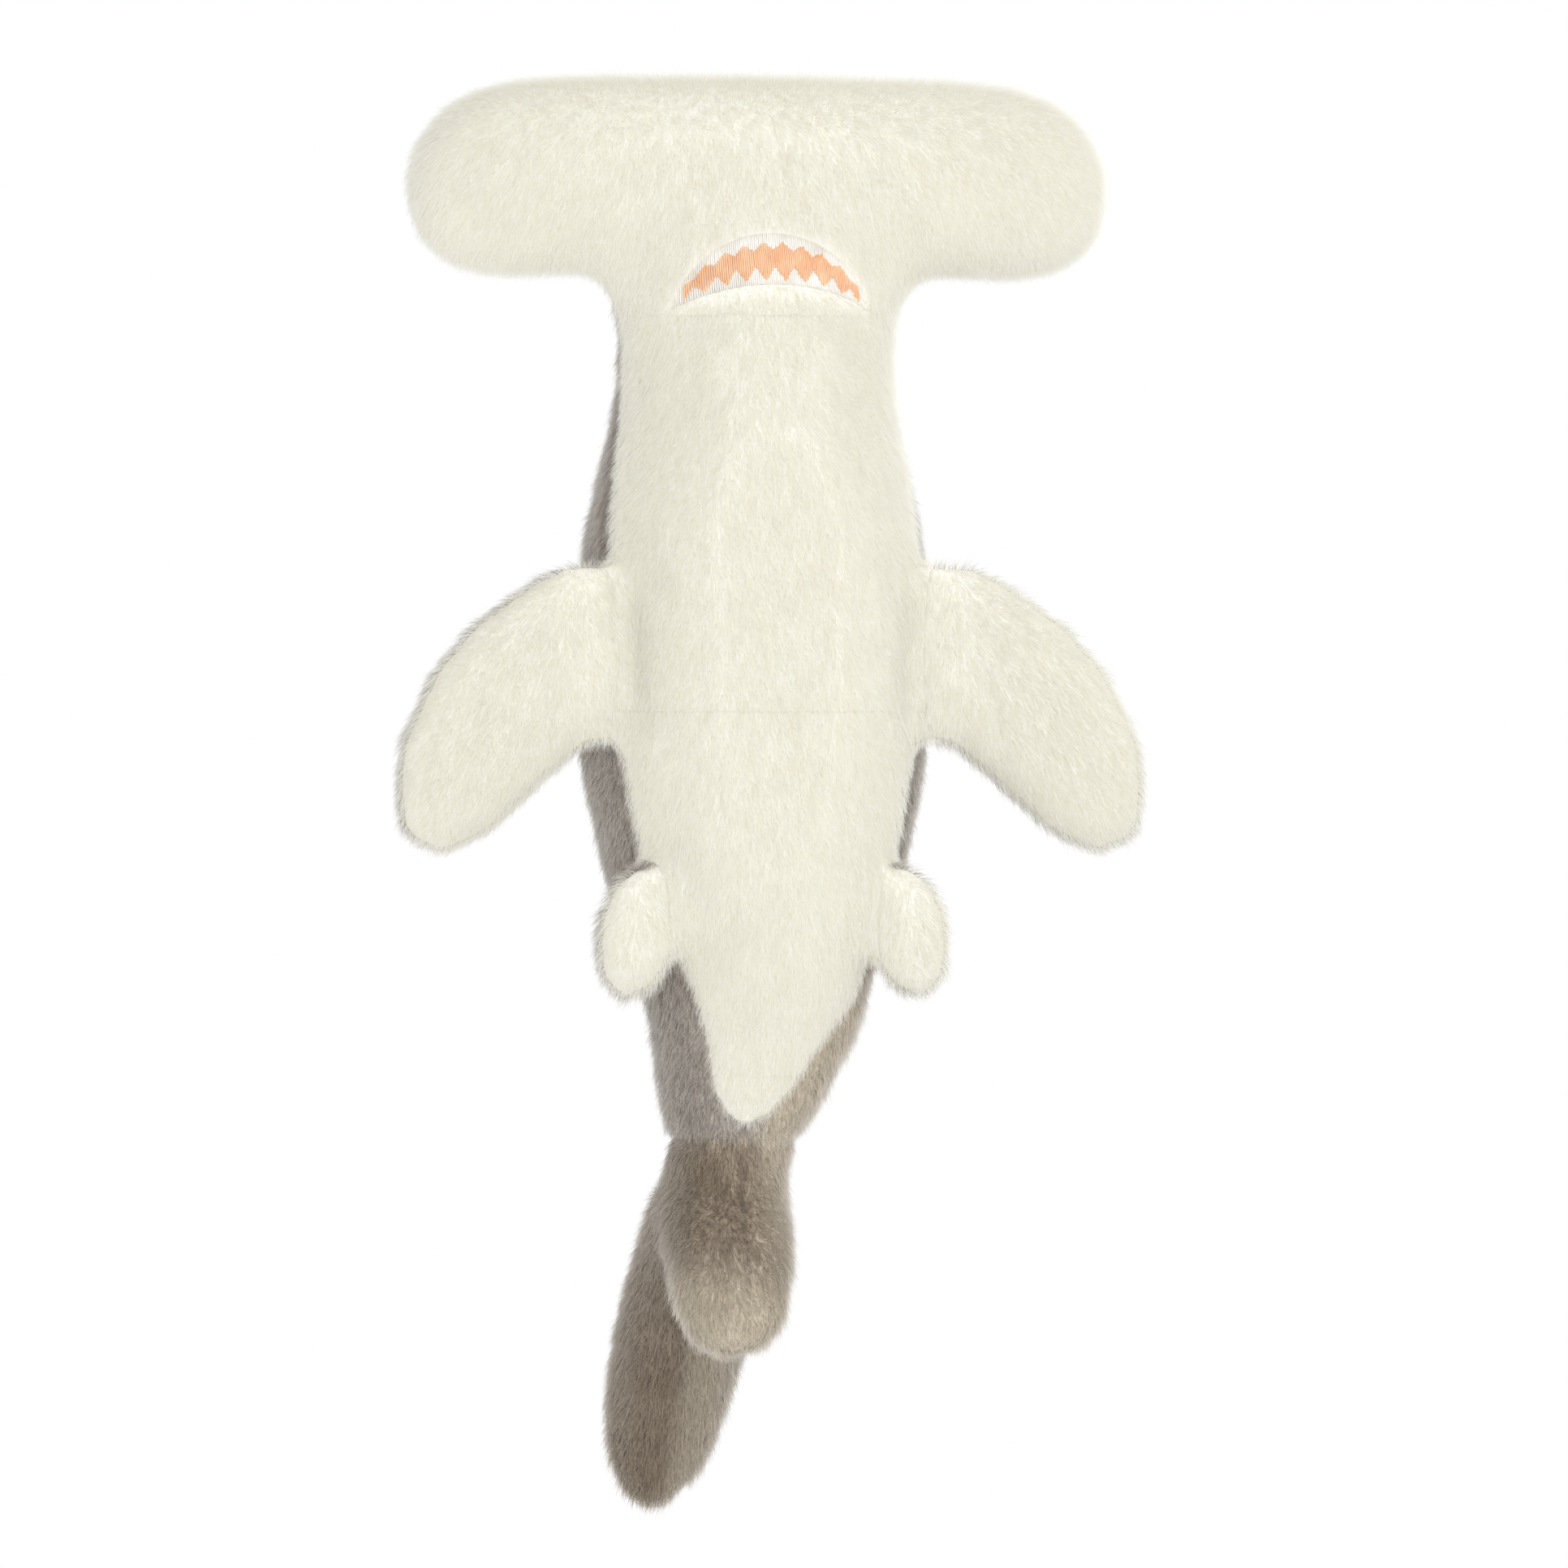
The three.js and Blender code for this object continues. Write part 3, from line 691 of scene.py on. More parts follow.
def body_nap_and_painted_light(points, outwards):
    """Where grey pile is lighter: low on the tail's left where it faces down, partly nap brushed the other
    way and partly painted light from below; and on its lower tip.
    """
    x, y, z = points.T
    # Pile facing down is painted lighter, as the light from below would show it.
    down = 1 - smoothstep(outwards[:, 2], -0.5, 0.3)
    ahead = 1 - smoothstep(y, TAIL_FIN_Y - 10 * MM, TAIL_FIN_Y + 30 * MM)
    line = centre_x(y) - 9 * MM * smoothstep(z, 45 * MM, 65 * MM)
    left = smoothstep(x - line, 0, 9 * MM) * smoothstep(y, TAIL_Y - 25 * MM, TAIL_Y) * (0.7 + 0.3 * ahead)
    tip = smoothstep(y, TAIL_TIP.y - 16 * MM, TAIL_TIP.y + 2 * MM) * (1 - smoothstep(z, 20 * MM, 34 * MM))
    return np.maximum(left * down, tip)


def fin_pile(name):
    place = PLACES[name]
    return lambda points: 1 - 0.15 * smoothstep(place.distance(points), 0, 8 * MM)


def fin_comb(name):
    place = PLACES[name]

    def comb(points):
        out = 0.6 * smoothstep(place.distance(points), -2 * MM, 16 * MM)
        return FLOW + out[:, None] * np.array(place.out)

    return comb


# Painted shade on the cream fins, growing out from the root.
def fin_painted_shade(name, colour):
    place = PLACES[name]
    return lambda points: FIN_PAINTED_SHADE[colour] * smoothstep(place.distance(points), -2 * MM, 12 * MM)


# No share of the lighter palette: no nap brushed the other way and no painted light.
def not_paler(points, outwards):
    return np.zeros(len(points))


# -------------------------------- node trees


def add(tree, kind, inputs=None, **settings):
    """Adds a node. `inputs` gives sockets by name or number, each a socket to link or a value."""
    node = tree.nodes.new(kind)
    for key, value in settings.items():
        setattr(node, key, value)
    for key, value in (inputs or {}).items():
        if isinstance(value, bpy.types.NodeSocket):
            tree.links.new(value, node.inputs[key])
        else:
            node.inputs[key].default_value = value
    return node


def math_node(tree, operation, *values):
    return add(tree, "ShaderNodeMath", dict(enumerate(values)), operation=operation).outputs[0]


def vector_node(tree, operation, *values, scale=None):
    inputs = dict(enumerate(values))
    if scale is not None:
        inputs["Scale"] = scale
    node = add(tree, "ShaderNodeVectorMath", inputs, operation=operation)
    return node.outputs["Value" if operation == "DOT_PRODUCT" else "Vector"]


def new_material(name):
    material = bpy.data.materials.new(name)
    material.use_nodes = True
    material.node_tree.nodes.clear()
    return material, material.node_tree


def rgba(*levels):
    """A colour from its usual 0 to 255 values, as linear light."""
    return (*(((level / 255 + 0.055) / 1.055) ** 2.4 for level in levels), 1)


def mix_colour(tree, share, first, second, blend="MIX"):
    inputs = {0: share, 6: first, 7: second}
    return add(tree, "ShaderNodeMix", inputs, data_type="RGBA", blend_type=blend).outputs[2]


def weighted(tree, first, first_weight, second, second_weight):
    first = math_node(tree, "MULTIPLY", first, first_weight)
    return math_node(tree, "ADD", first, math_node(tree, "MULTIPLY", second, second_weight))


def named(tree, name, output="Vector"):
    return add(tree, "ShaderNodeAttribute", attribute_name=name).outputs[output]


def position(tree):
    return add(tree, "ShaderNodeNewGeometry").outputs["Position"]


def bump(tree, strength, distance, height):
    inputs = {"Strength": strength, "Distance": distance, "Height": height}
    return add(tree, "ShaderNodeBump", inputs).outputs[0]


def mix_shader(tree, share, first, second):
    return add(tree, "ShaderNodeMixShader", {0: share, 1: first, 2: second}).outputs[0]


def coloured(tree, kind, colour, **inputs):
    """A shader of one colour."""
    return add(tree, f"ShaderNode{kind}", {"Color": colour, **inputs}).outputs[0]


def principled(tree, inputs):
    return add(tree, "ShaderNodeBsdfPrincipled", inputs).outputs[0]


def finish_material(tree, shader):
    add(tree, "ShaderNodeOutputMaterial", {"Surface": shader})


def noise_value(tree, where, scale, detail=3.0):
    return add(tree, "ShaderNodeTexNoise", {"Vector": where, "Scale": scale, "Detail": detail}).outputs["Fac"]


def ramp(tree, value, low, high, to_low=0.0, to_high=1.0):
    inputs = {"Value": value, "From Min": low, "From Max": high, "To Min": to_low, "To Max": to_high}
    return add(tree, "ShaderNodeMapRange", inputs).outputs["Result"]


# -------------------------------- pile fabric


def palette(**levels):
    return {name: rgba(*level) for name, level in levels.items()}


# In each palette the root is darker than the tip, partly the fabric's own lighter tips and partly painted
# shade deep in the pile; rim is a painted sheen, the colour of pile seen edge-on.
CREAM = palette(root=(247, 244, 232), tip=(255, 255, 251), patch=(254, 253, 247), rim=(255, 255, 252))
# A painted shade of the cream palette, for the cream fins and the cream pile at the tail fin.
PAINTED_SHADE = palette(root=(234, 231, 218), tip=(245, 244, 238), patch=(242, 240, 232), rim=(252, 251, 247))
GREY = palette(root=(144, 136, 127), tip=(232, 225, 217), patch=(207, 199, 190), rim=(238, 234, 228))
BROWN = palette(root=(123, 110, 95), tip=(214, 199, 181), patch=(184, 168, 149), rim=(230, 224, 215))
# The grey painted lighter: partly nap brushed the other way, partly painted light from below.
PALE_NAP_AND_LIGHT = palette(root=(186, 175, 157), tip=(251, 244, 228), patch=(233, 223, 204), rim=(251, 247, 241))


def pile_colours(tree, palettes, along, facing):
    """Colour of the pile at a share `along` its strands, mottled over the fabric, with a painted sheen: its
    rim colour where it is seen edge-on.
    """
    rest = named(tree, "rest")
    mottle = ramp(tree, noise_value(tree, rest, PATCHES), 0.35, 0.65)
    fine = ramp(tree, noise_value(tree, rest, FINE_PATCHES), 0.3, 0.7)
    share = weighted(tree, mottle, 0.6, fine, 0.4)
    # Painted sheen: pile seen more edge-on takes more of its rim colour.
    edge = ramp(tree, facing, 0.75, 0.1)

    def shade(colours):
        tips = mix_colour(tree, share, colours["patch"], colours["tip"])
        tips = mix_colour(tree, edge, tips, colours["rim"])
        return mix_colour(tree, along, colours["root"], tips)

    colour = shade(palettes[0])
    # The second palette: the tail's browner fabric on grey pile, painted shade on cream pile; the third:
    # lighter grey, partly nap and partly painted light.
    for name, colours in zip(("tone", "paler"), palettes[1:]):
        colour = mix_colour(tree, named(tree, name, "Fac"), colour, shade(colours))
    return colour


def strand_material(name, palettes, sheen=0.25, variation=0.2):
    """Material of single strands of pile: darker at the root, partly the fabric's own lighter tips and partly
    painted shade deep in the pile, each a little different.
    """
    material, tree = new_material(name)
    hair = add(tree, "ShaderNodeHairInfo")
    along = ramp(tree, hair.outputs["Intercept"], 0.0, 0.85)
    incoming = add(tree, "ShaderNodeNewGeometry").outputs["Incoming"]
    # How squarely the strand's skin faces the view, for the painted sheen.
    facing = vector_node(tree, "DOT_PRODUCT", named(tree, "grow"), incoming)
    colour = pile_colours(tree, palettes, along, math_node(tree, "ABSOLUTE", facing))
    bright = ramp(tree, hair.outputs["Random"], 0, 1, 1 - variation, 1 + variation * 0.35)
    bright = add(tree, "ShaderNodeCombineColor", dict.fromkeys(range(3), bright)).outputs[0]
    colour = mix_colour(tree, 1.0, colour, bright, "MULTIPLY")
    diffuse, through = coloured(tree, "BsdfDiffuse", colour), coloured(tree, "BsdfTranslucent", colour)
    gloss = coloured(tree, "BsdfAnisotropic", colour, Roughness=0.5)
    finish_material(tree, mix_shader(tree, sheen, mix_shader(tree, 0.35, diffuse, through), gloss))
    return material


def backing_material(name, palettes):
    """Material of the fabric under the strands: combed streaks in colour and relief."""
    material, tree = new_material(name)
    drawn = vector_node(tree, "MULTIPLY", named(tree, "rest"), (1.0, 0.22, 1.0))
    streaks = noise_value(tree, drawn, STREAKS, 4)
    # How squarely the backing faces the view, for the painted sheen.
    facing = ramp(tree, add(tree, "ShaderNodeLayerWeight", {"Blend": 0.5}).outputs["Facing"], 0, 1, 1, 0)
    colour = pile_colours(tree, palettes, ramp(tree, streaks, 0.3, 0.62), facing)
    relief = bump(tree, 0.6, 0.4 * MM, streaks)
    inputs = {"Base Color": colour, "Roughness": 0.95, "Normal": relief}
    inputs |= {"Sheen Weight": 0.25, "Sheen Roughness": 0.5}
    finish_material(tree, principled(tree, inputs))
    return material


MATERIALS = {
    "cream": backing_material("cream_pile_backing", (CREAM, PAINTED_SHADE)),
    "grey": backing_material("grey_pile_backing", (GREY, BROWN, PALE_NAP_AND_LIGHT)),
}
STRANDS = {
    "cream": strand_material("cream_pile_strands", (CREAM, PAINTED_SHADE), sheen=0.1, variation=0.08),
    "grey": strand_material("grey_pile_strands", (GREY, BROWN, PALE_NAP_AND_LIGHT)),
}


def pile_nodes():
    """Geometry nodes that grow pile on a skin, wherever the pose puts it."""
    tree = bpy.data.node_groups.new("pile", "GeometryNodeTree")
    sockets = {"Skin": "Object", "First body": "Object", "Second body": "Object", "Material": "Material"}
    sockets |= dict.fromkeys(("Density", "Length", "Radius", "Clump"), "Float")
    for name, kind in sockets.items():
        tree.interface.new_socket(name, in_out="INPUT", socket_type=f"NodeSocket{kind}")
    tree.interface.new_socket("Geometry", in_out="OUTPUT", socket_type="NodeSocketGeometry")
    given = add(tree, "NodeGroupInput").outputs

    def attribute(name, kind="FLOAT_VECTOR"):
        return add(tree, "GeometryNodeInputNamedAttribute", {"Name": name}, data_type=kind).outputs[0]

    def times(first, second):
        return math_node(tree, "MULTIPLY", first, second)

    def scaled(vector, share):
        return vector_node(tree, "SCALE", vector, scale=share)

    def turned(name):
        """A direction kept on the skin, turned with the bodies that the skin bends between."""
        ways = []
        for body in ("First body", "Second body"):
            rotation = add(tree, "GeometryNodeObjectInfo", {"Object": given[body]}).outputs["Rotation"]
            inputs = {"Vector": attribute(name), "Rotation": rotation}
            ways.append(add(tree, "FunctionNodeRotateVector", inputs).outputs[0])
        share = attribute("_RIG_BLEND", "FLOAT")
        return add(tree, "ShaderNodeMix", {0: share, 4: ways[0], 5: ways[1]}, data_type="VECTOR").outputs[1]

    def kept(geometry, name, value, kind="FLOAT_VECTOR"):
        inputs = {"Geometry": geometry, "Name": name, "Value": value}
        return add(tree, "GeometryNodeStoreNamedAttribute", inputs, data_type=kind, domain="POINT").outputs[0]

    def drift(scale, detail):
        """Noise over the fabric, as a direction."""
        inputs = {"Vector": attribute("rest"), "Scale": scale, "Detail": detail}
        colour = add(tree, "ShaderNodeTexNoise", inputs).outputs["Color"]
        return vector_node(tree, "SUBTRACT", colour, (0.5, 0.5, 0.5))

    def random(low, high, kind, number):
        inputs = {2 * number: low, 2 * number + 1: high}
        return add(tree, "FunctionNodeRandomValue", inputs, data_type=kind).outputs[number]

    def then(kind, **inputs):
        """A node that takes a geometry and gives one."""
        return add(tree, f"GeometryNode{kind}", inputs).outputs[0]

    skin = add(tree, "GeometryNodeObjectInfo", {"Object": given["Skin"]}, transform_space="RELATIVE")
    skin = skin.outputs["Geometry"]
    grows = math_node(tree, "GREATER_THAN", attribute("pile", "FLOAT"), BARE)
    not_rim = add(tree, "GeometryNodeInputShadeSmooth").outputs[0]
    density = times(given["Density"], times(grows, not_rim))
    roots = then("DistributePointsOnFaces", Mesh=skin, Density=density, Seed=7)

    normal = vector_node(tree, "NORMALIZE", turned("facing"))
    lie = turned("comb")
    lie = vector_node(tree, "SUBTRACT", lie, scaled(normal, vector_node(tree, "DOT_PRODUCT", lie, normal)))
    clumps = vector_node(tree, "ADD", drift(150.0, 2.0), drift(700.0, 1.0))
    lie = vector_node(tree, "ADD", lie, scaled(clumps, given["Clump"]))
    stray = random((-1, -1, -1), (1, 1, 1), "FLOAT_VECTOR", 0)
    lie = vector_node(tree, "ADD", lie, scaled(stray, STRAY))
    length = times(given["Length"], attribute("pile", "FLOAT"))
    length = times(length, random(0.8, 1.08, "FLOAT", 1))

    geometry = kept(roots, "grow", normal)
    geometry = kept(geometry, "lie", lie)
    geometry = kept(geometry, "long", length, "FLOAT")
    strand = then("ResampleCurve", Curve=then("CurvePrimitiveLine", End=(0, 0, 0)), Count=STRAND_POINTS)
    geometry = then("InstanceOnPoints", Points=geometry, Instance=strand)
    geometry = then("RealizeInstances", Geometry=geometry)

    share = add(tree, "GeometryNodeSplineParameter").outputs["Factor"]
    bent = math_node(tree, "POWER", share, STRAND_CURVE)
    up = weighted(tree, share, STRAND_UP[0], bent, STRAND_UP[1])
    over = weighted(tree, share, STRAND_OVER[0], bent, STRAND_OVER[1])
    path = vector_node(tree, "ADD", scaled(attribute("grow"), up), scaled(attribute("lie"), over))
    geometry = then("SetPosition", Geometry=geometry, Offset=scaled(path, attribute("long", "FLOAT")))
    taper = times(given["Radius"], ramp(tree, share, 0, 1, 1.0, 0.35))
    geometry = then("SetCurveRadius", Curve=geometry, Radius=taper)
    geometry = then("SetMaterial", Geometry=geometry, Material=given["Material"])
    add(tree, "NodeGroupOutput", {0: geometry})
    return tree


PILE_NODES = pile_nodes()


def grow_pile(skin, colour, bodies):
    """Pile on a finished skin. It is hair, so it follows the skin and needs no body of its own."""
    hair = link(f"{skin.name}_pile", bpy.data.hair_curves.new(f"{skin.name}_pile"))
    modifier = hair.modifiers.new("pile", "NODES")
    modifier.node_group = PILE_NODES
    values = {
        "Skin": skin,
        "First body": frame["bodies"][bodies[0]],
        "Second body": frame["bodies"][bodies[-1]],
        "Material": STRANDS[colour],
        "Density": PILE_PER_M2,
        "Length": PILE_LENGTH,
        "Radius": STRAND_RADIUS,
        "Clump": CLUMP[colour],
    }
    for item in PILE_NODES.interface.items_tree:
        if item.in_out == "INPUT":
            modifier[item.identifier] = values[item.name]


def attach(thing, bodies, span):
    """Lets a piece ride on its body, or bends it between two."""
    if len(bodies) == 1:
        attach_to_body(thing, bodies[0])
    else:
        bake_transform(thing, *bodies, start=span[0], end=span[1])


def place_skin(skin, colour, bodies, span, panel):
    """Attaches a skin in place of its CAD panel, and grows its pile."""
    attach(skin, bodies, span)
    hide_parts(panel)
    grow_pile(skin, colour, bodies)


# -------------------------------- materials of the hidden parts


def loose_fibre(name, light, dark, scale, roughness):
    """A plain hidden material: fibre, cloth or plastic, by the scale of its grain."""
    material, tree = new_material(name)
    grain = noise_value(tree, position(tree), scale, 6)
    colour = mix_colour(tree, ramp(tree, grain, 0.3, 0.7), dark, light)
    relief = bump(tree, 0.5, 0.5 * MM, grain)
    finish_material(tree, principled(tree, {"Base Color": colour, "Roughness": roughness, "Normal": relief}))
    return material


HIDDEN = {
    "stuffing": loose_fibre("fibre_filling", rgba(248, 248, 246), rgba(214, 214, 210), 600, 1.0),
    "pouch": loose_fibre("pouch_cloth", rgba(224, 220, 208), rgba(190, 186, 174), 1800, 0.9),
    "washer": loose_fibre("washer_plastic", rgba(228, 226, 220), rgba(206, 204, 196), 300, 0.45),
}

# -------------------------------- building the skins


def region(low, high, colour, side):
    """A test for the points of one skin: between two places along the body, of one colour, on one side."""

    def holds(centres):
        x, y, z = centres.T
        is_cream = (z <= seam_z(y)) & (y < TAIL_FIN_Y + CREAM_END)
        inside = (y > low) & (y < high) & (fin_at(centres) < 0) & (is_cream == (colour == "cream"))
        if side == "both":
            return inside
        return inside & ((x > centre_x(y)) == (side == "left"))

    return holds


def along_body(start, end):
    return ((0, start, 0), (0, end, 0))


NECK = along_body(NECK_Y + NECK_BEND[1], HEAD_END)
TAIL = along_body(TAIL_Y - TAIL_BEND[0], TAIL_START)
TAIL_FIN = along_body(TAIL_FIN_Y - TAIL_FIN_BEND[0], TAIL_FIN_START)

# Each section of the body: where it starts and ends, its bodies and where it bends between them.
SECTIONS = {
    "head": (-FAR, HEAD_END, ("head",), None),
    "front": (HEAD_END, MIDDLE, ("trunk", "head"), NECK),
    "rear": (MIDDLE, TAIL_START, ("trunk", "tail_stock"), TAIL),
    "tail": (TAIL_START, TAIL_FIN_START, ("tail_stock", "tail_fin"), TAIL_FIN),
    "tail_fin": (TAIL_FIN_START, FAR, ("tail_fin",), None),
}

# Each skin: its section, colour and side, and the CAD panel that it stands for.
BODY_SKINS = {
    "head_top": ("head", "grey", "both", "head_top_panel"),
    "head_underside": ("head", "cream", "both", "head_underside_panel"),
    "chest": ("front", "cream", "both", "belly_panel"),
    "belly": ("rear", "cream", "both", "belly_panel"),
    "tail_underside": ("tail", "cream", "both", "tail_belly_panel"),
}
for one_side in ("left", "right"):
    for skin_label, section_name, panel_name in (
        ("shoulder", "front", "back_panel"), ("flank", "rear", "back_panel"),
        ("tail", "tail", "tail_panel"), ("tail_fin", "tail_fin", "tail_fin_panel"),
    ):
        BODY_SKINS[f"{skin_label}_{one_side}"] = (section_name, "grey", one_side, f"{panel_name}_{one_side}")

# Each filling of the body, and the section that it bends with.
BODY_FILLINGS = {"head": "front", "body": "front", "tail": "rear", "tail_fin": "tail_fin"}


def smooth_body(mesh):
    """Evens out the tail's waist, the corners behind the hammer and the dorsal fin's tip."""
    x, y, z = coordinates(mesh).T
    at_waist = np.exp(-(((y - TAIL_FIN_Y) / WAIST_REACH) ** 2))
    from_corner = np.hypot(np.abs(x) - HAMMER_CORNER[0], y - HAMMER_CORNER[1])
    at_corner = np.exp(-((from_corner / CORNER_REACH) ** 2))
    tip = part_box("dorsal_stuffing")[1].z
    at_tip = smoothstep(z, tip - 18 * MM, tip - 2 * MM) * (y < TAIL_Y)
    relax(mesh, WAIST_SMOOTHING, (0.5,), np.maximum.reduce([at_waist, at_corner, at_tip])[:, None])


def make_body():
    body = stuffed(joined("body", body_solids()), BODY_VOXEL, BODY_SMOOTHING)
    smooth_body(body.data)
    shape_body(body.data)
    cut_along_seams(body.data)
    cut_round_fins(body.data)
    regions = {}
    for name, (section, colour, side, _) in BODY_SKINS.items():
        regions[name] = region(*SECTIONS[section][:2], colour, side)
    for index, name in enumerate(FINS):
        on_fin = partial(is_on_fin, index)
        regions |= fin_halves(name, FINS[name]["halves"], on_fin)
    skins = split(body.data, regions)
    shell = tree_of(body.data)
    bpy.data.objects.remove(body)
    for name, section in BODY_FILLINGS.items():
        attach(make_filling(name, shell), *SECTIONS[section][2:])
    for name, settings in FINS.items():
        panels = {label: skins.pop(label) for label in list(skins) if label.startswith(name)}
        finish_fin(name, settings, panels, shell)
    for name, (section, colour, _, panel) in BODY_SKINS.items():
        dress(skins[name], MATERIALS[colour], body_pile, body_comb, body_tone_and_shade, body_nap_and_painted_light)
        place_skin(skins[name], colour, *SECTIONS[section][2:], panel)
    return skins


def fin_halves(name, halves, whole):
    """Regions for a fin's two panels."""
    place = PLACES[name]
    return {
        f"{name}_{halves[0]}": lambda centres: whole(centres) & place.above(centres),
        f"{name}_{halves[1]}": lambda centres: whole(centres) & ~place.above(centres),
    }


def make_filling(name, shell):
    """The stuffing of a part: its CAD solid a little smaller, and drawn in where a skin comes too near."""
    node = f"{name}_stuffing"
    filling = link(f"{name}_filling", NODES[node].data.copy())
    centre = node_centre(node)
    with editing(filling.data) as work:
        bmesh.ops.subdivide_edges(work, edges=work.edges, cuts=2, use_grid_fill=True)
        for vertex in work.verts:
            vertex.co = centre + FILLING_SIZE * (vertex.co - centre)
            spot, normal, _, _ = shell.find_nearest(vertex.co)
            depth = (spot - vertex.co).dot(normal)
            if depth < FILLING_ROOM:
                vertex.co -= normal * (FILLING_ROOM - depth)
    filling.data.materials.clear()
    filling.data.materials.append(HIDDEN["stuffing"])
    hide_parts(node)
    return filling


def finish_fin(name, settings, skins, shell):
    """Dresses a fin's panels and bends them and the filling from the body to the fin."""
    place = PLACES[name]
    bodies = (JOINTS[name]["parent"], name)
    span = tuple(place.root + place.out * reach for reach in settings["bend"])
    attach(make_filling(name, shell), bodies, span)
    for label, skin in skins.items():
        colour = "cream" if label.endswith("under") else "grey"
        half = label.removeprefix(f"{name}_")
        panel = f"{name}_panel_{half}" if half in ("left", "right") else f"{label}_panel"
        dress(skin, MATERIALS[colour], fin_pile(name), fin_comb(name), fin_painted_shade(name, colour), not_paler)
        place_skin(skin, colour, bodies, span, panel)


def everywhere(points):
    return np.ones(len(points), bool)


def make_rear_dorsal():
    name = "rear_dorsal"
    place = PLACES[name]
    fin = stuffed(joined(name, [fin_copy(name)]), REAR_DORSAL["voxel"], FIN_SMOOTHING)
    z = coordinates(fin.data)[:, 2]
    relax(fin.data, FIN_SMOOTHING, (0.5,), smoothstep(z, z.max() - 8 * MM, z.max())[:, None])
    shell = tree_of(fin.data)
    with editing(fin.data) as work:
        bisect(work, everything(work), place.root, place.across)
    skins = split(fin.data, fin_halves(name, REAR_DORSAL["halves"], everywhere))
    bpy.data.objects.remove(fin)
    finish_fin(name, REAR_DORSAL, skins, shell)


SKINS = make_body()
make_rear_dorsal()

# -------------------------------- embroidered mouth

THREAD_PITCH = 0.55 * MM
THREAD_RADIUS = 0.29 * MM
THREAD_TWIST = 900.0
THREAD_SIDES = 5
THREAD_STEPS = 9
STITCH = 3.2 * MM            # a thread dips back into the cloth after each stitch
STITCH_LIFT = 0.3 * MM
SLANT = 0.9 * MM             # how far a thread leans sideways between the mouth's edges
GUM_POINTS = 9
GUM_RISE = 0.45 * MM         # the gum's threads lie over the white ones
GUM_FRONT = (0.16, 2.2 * MM) # the gum's inset from the mouth's edge, as a share, and the depth of its saw
GUM_REAR = (0.06, 3.9 * MM)


def thread_material(name, colour, shade):
    """Shiny embroidery thread, its fibres twisted along it."""
    material, tree = new_material(name)
    where = position(tree)
    wave = {"Vector": where, "Scale": THREAD_TWIST, "Distortion": 3.0}
    twist = add(tree, "ShaderNodeTexWave", wave).outputs["Fac"]
    tint = mix_colour(tree, ramp(tree, noise_value(tree, where, 180), 0.35, 0.7), colour, shade)
    inputs = {"Base Color": tint, "Roughness": 0.42, "Normal": bump(tree, 0.35, 0.05 * MM, twist)}
    inputs |= {"Specular IOR Level": 0.35, "Sheen Weight": 0.4, "Anisotropic": 0.5}
    finish_material(tree, principled(tree, inputs))
    return material


def on_surface(surface, x, y):
    """The spot right above x and y on the head's underside, and the outward way there."""
    spot, normal, _, _ = surface.ray_cast(Vector((x, y, -0.05)), Vector((0, 0, 1)))
    return spot, normal


def thread(mesh, path, rise):
    """A tube through the points of `path`, which are pairs of a spot and the outward way there."""
    rings = []
    for index, (spot, outwards) in enumerate(path):
        before, after = path[max(index - 1, 0)][0], path[min(index + 1, len(path) - 1)][0]
        way = (after - before).normalized()
        side = way.cross(outwards).normalized()
        ring = []
        for corner in range(THREAD_SIDES):
            angle = 2 * math.pi * corner / THREAD_SIDES
            offset = side * math.cos(angle) + outwards * math.sin(angle)
            ring.append(mesh.verts.new(spot + outwards * rise[index] + offset * THREAD_RADIUS))
        rings.append(ring)
    for first, second in zip(rings, rings[1:]):
        for corner in range(THREAD_SIDES):
            after = (corner + 1) % THREAD_SIDES
            mesh.faces.new((first[corner], first[after], second[after], second[corner]))
    mesh.faces.new(rings[0][::-1])
    mesh.faces.new(rings[-1])


def lay_threads(name, surface, reach, front, rear, rise, material):
    """Side by side threads between two edges, dipping into the cloth at every stitch."""
    mesh = bmesh.new()
    count = int(2 * reach / THREAD_PITCH)
    for index in range(count):
        x = -reach + (index + 0.5) * 2 * reach / count
        low, high = front(x), rear(x)
        if high - low < 0.6 * MM:
            continue
        lean = SLANT * (high - low) / (14 * MM)
        path, lift = [], []
        for step in range(THREAD_STEPS):
            share = step / (THREAD_STEPS - 1)
            y = low + (high - low) * share
            path.append(on_surface(surface, x + lean * (share - 0.5), y))
            stitch = (y / STITCH + 0.37 * index) % 1
            ends = min(1, 6 * share, 6 * (1 - share))
            lift.append(rise * ends + STITCH_LIFT * math.sin(math.pi * stitch) ** 0.5)
        thread(mesh, path, lift)
    data = smooth_mesh(name, mesh, material)
    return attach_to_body(link(name, data), "head")


def gum_edges():
    """The saw-edged band of the gum, as its CAD layer has it."""
    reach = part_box("gum_embroidery")[1].x
    full = 12 * MM

    def inset(x, share, depth):
        height = MOUTH.rear(x) - MOUTH.front(x)
        saw = 1 - abs(2 * ((x / reach + 1) / 2 * GUM_POINTS % 1) - 1)
        return share * height + depth * min(height / full, 1) * saw

    def front(x):
        return MOUTH.front(x) + inset(x, *GUM_FRONT)

    def rear(x):
        return MOUTH.rear(x) - inset(x, *GUM_REAR)

    return reach, front, rear


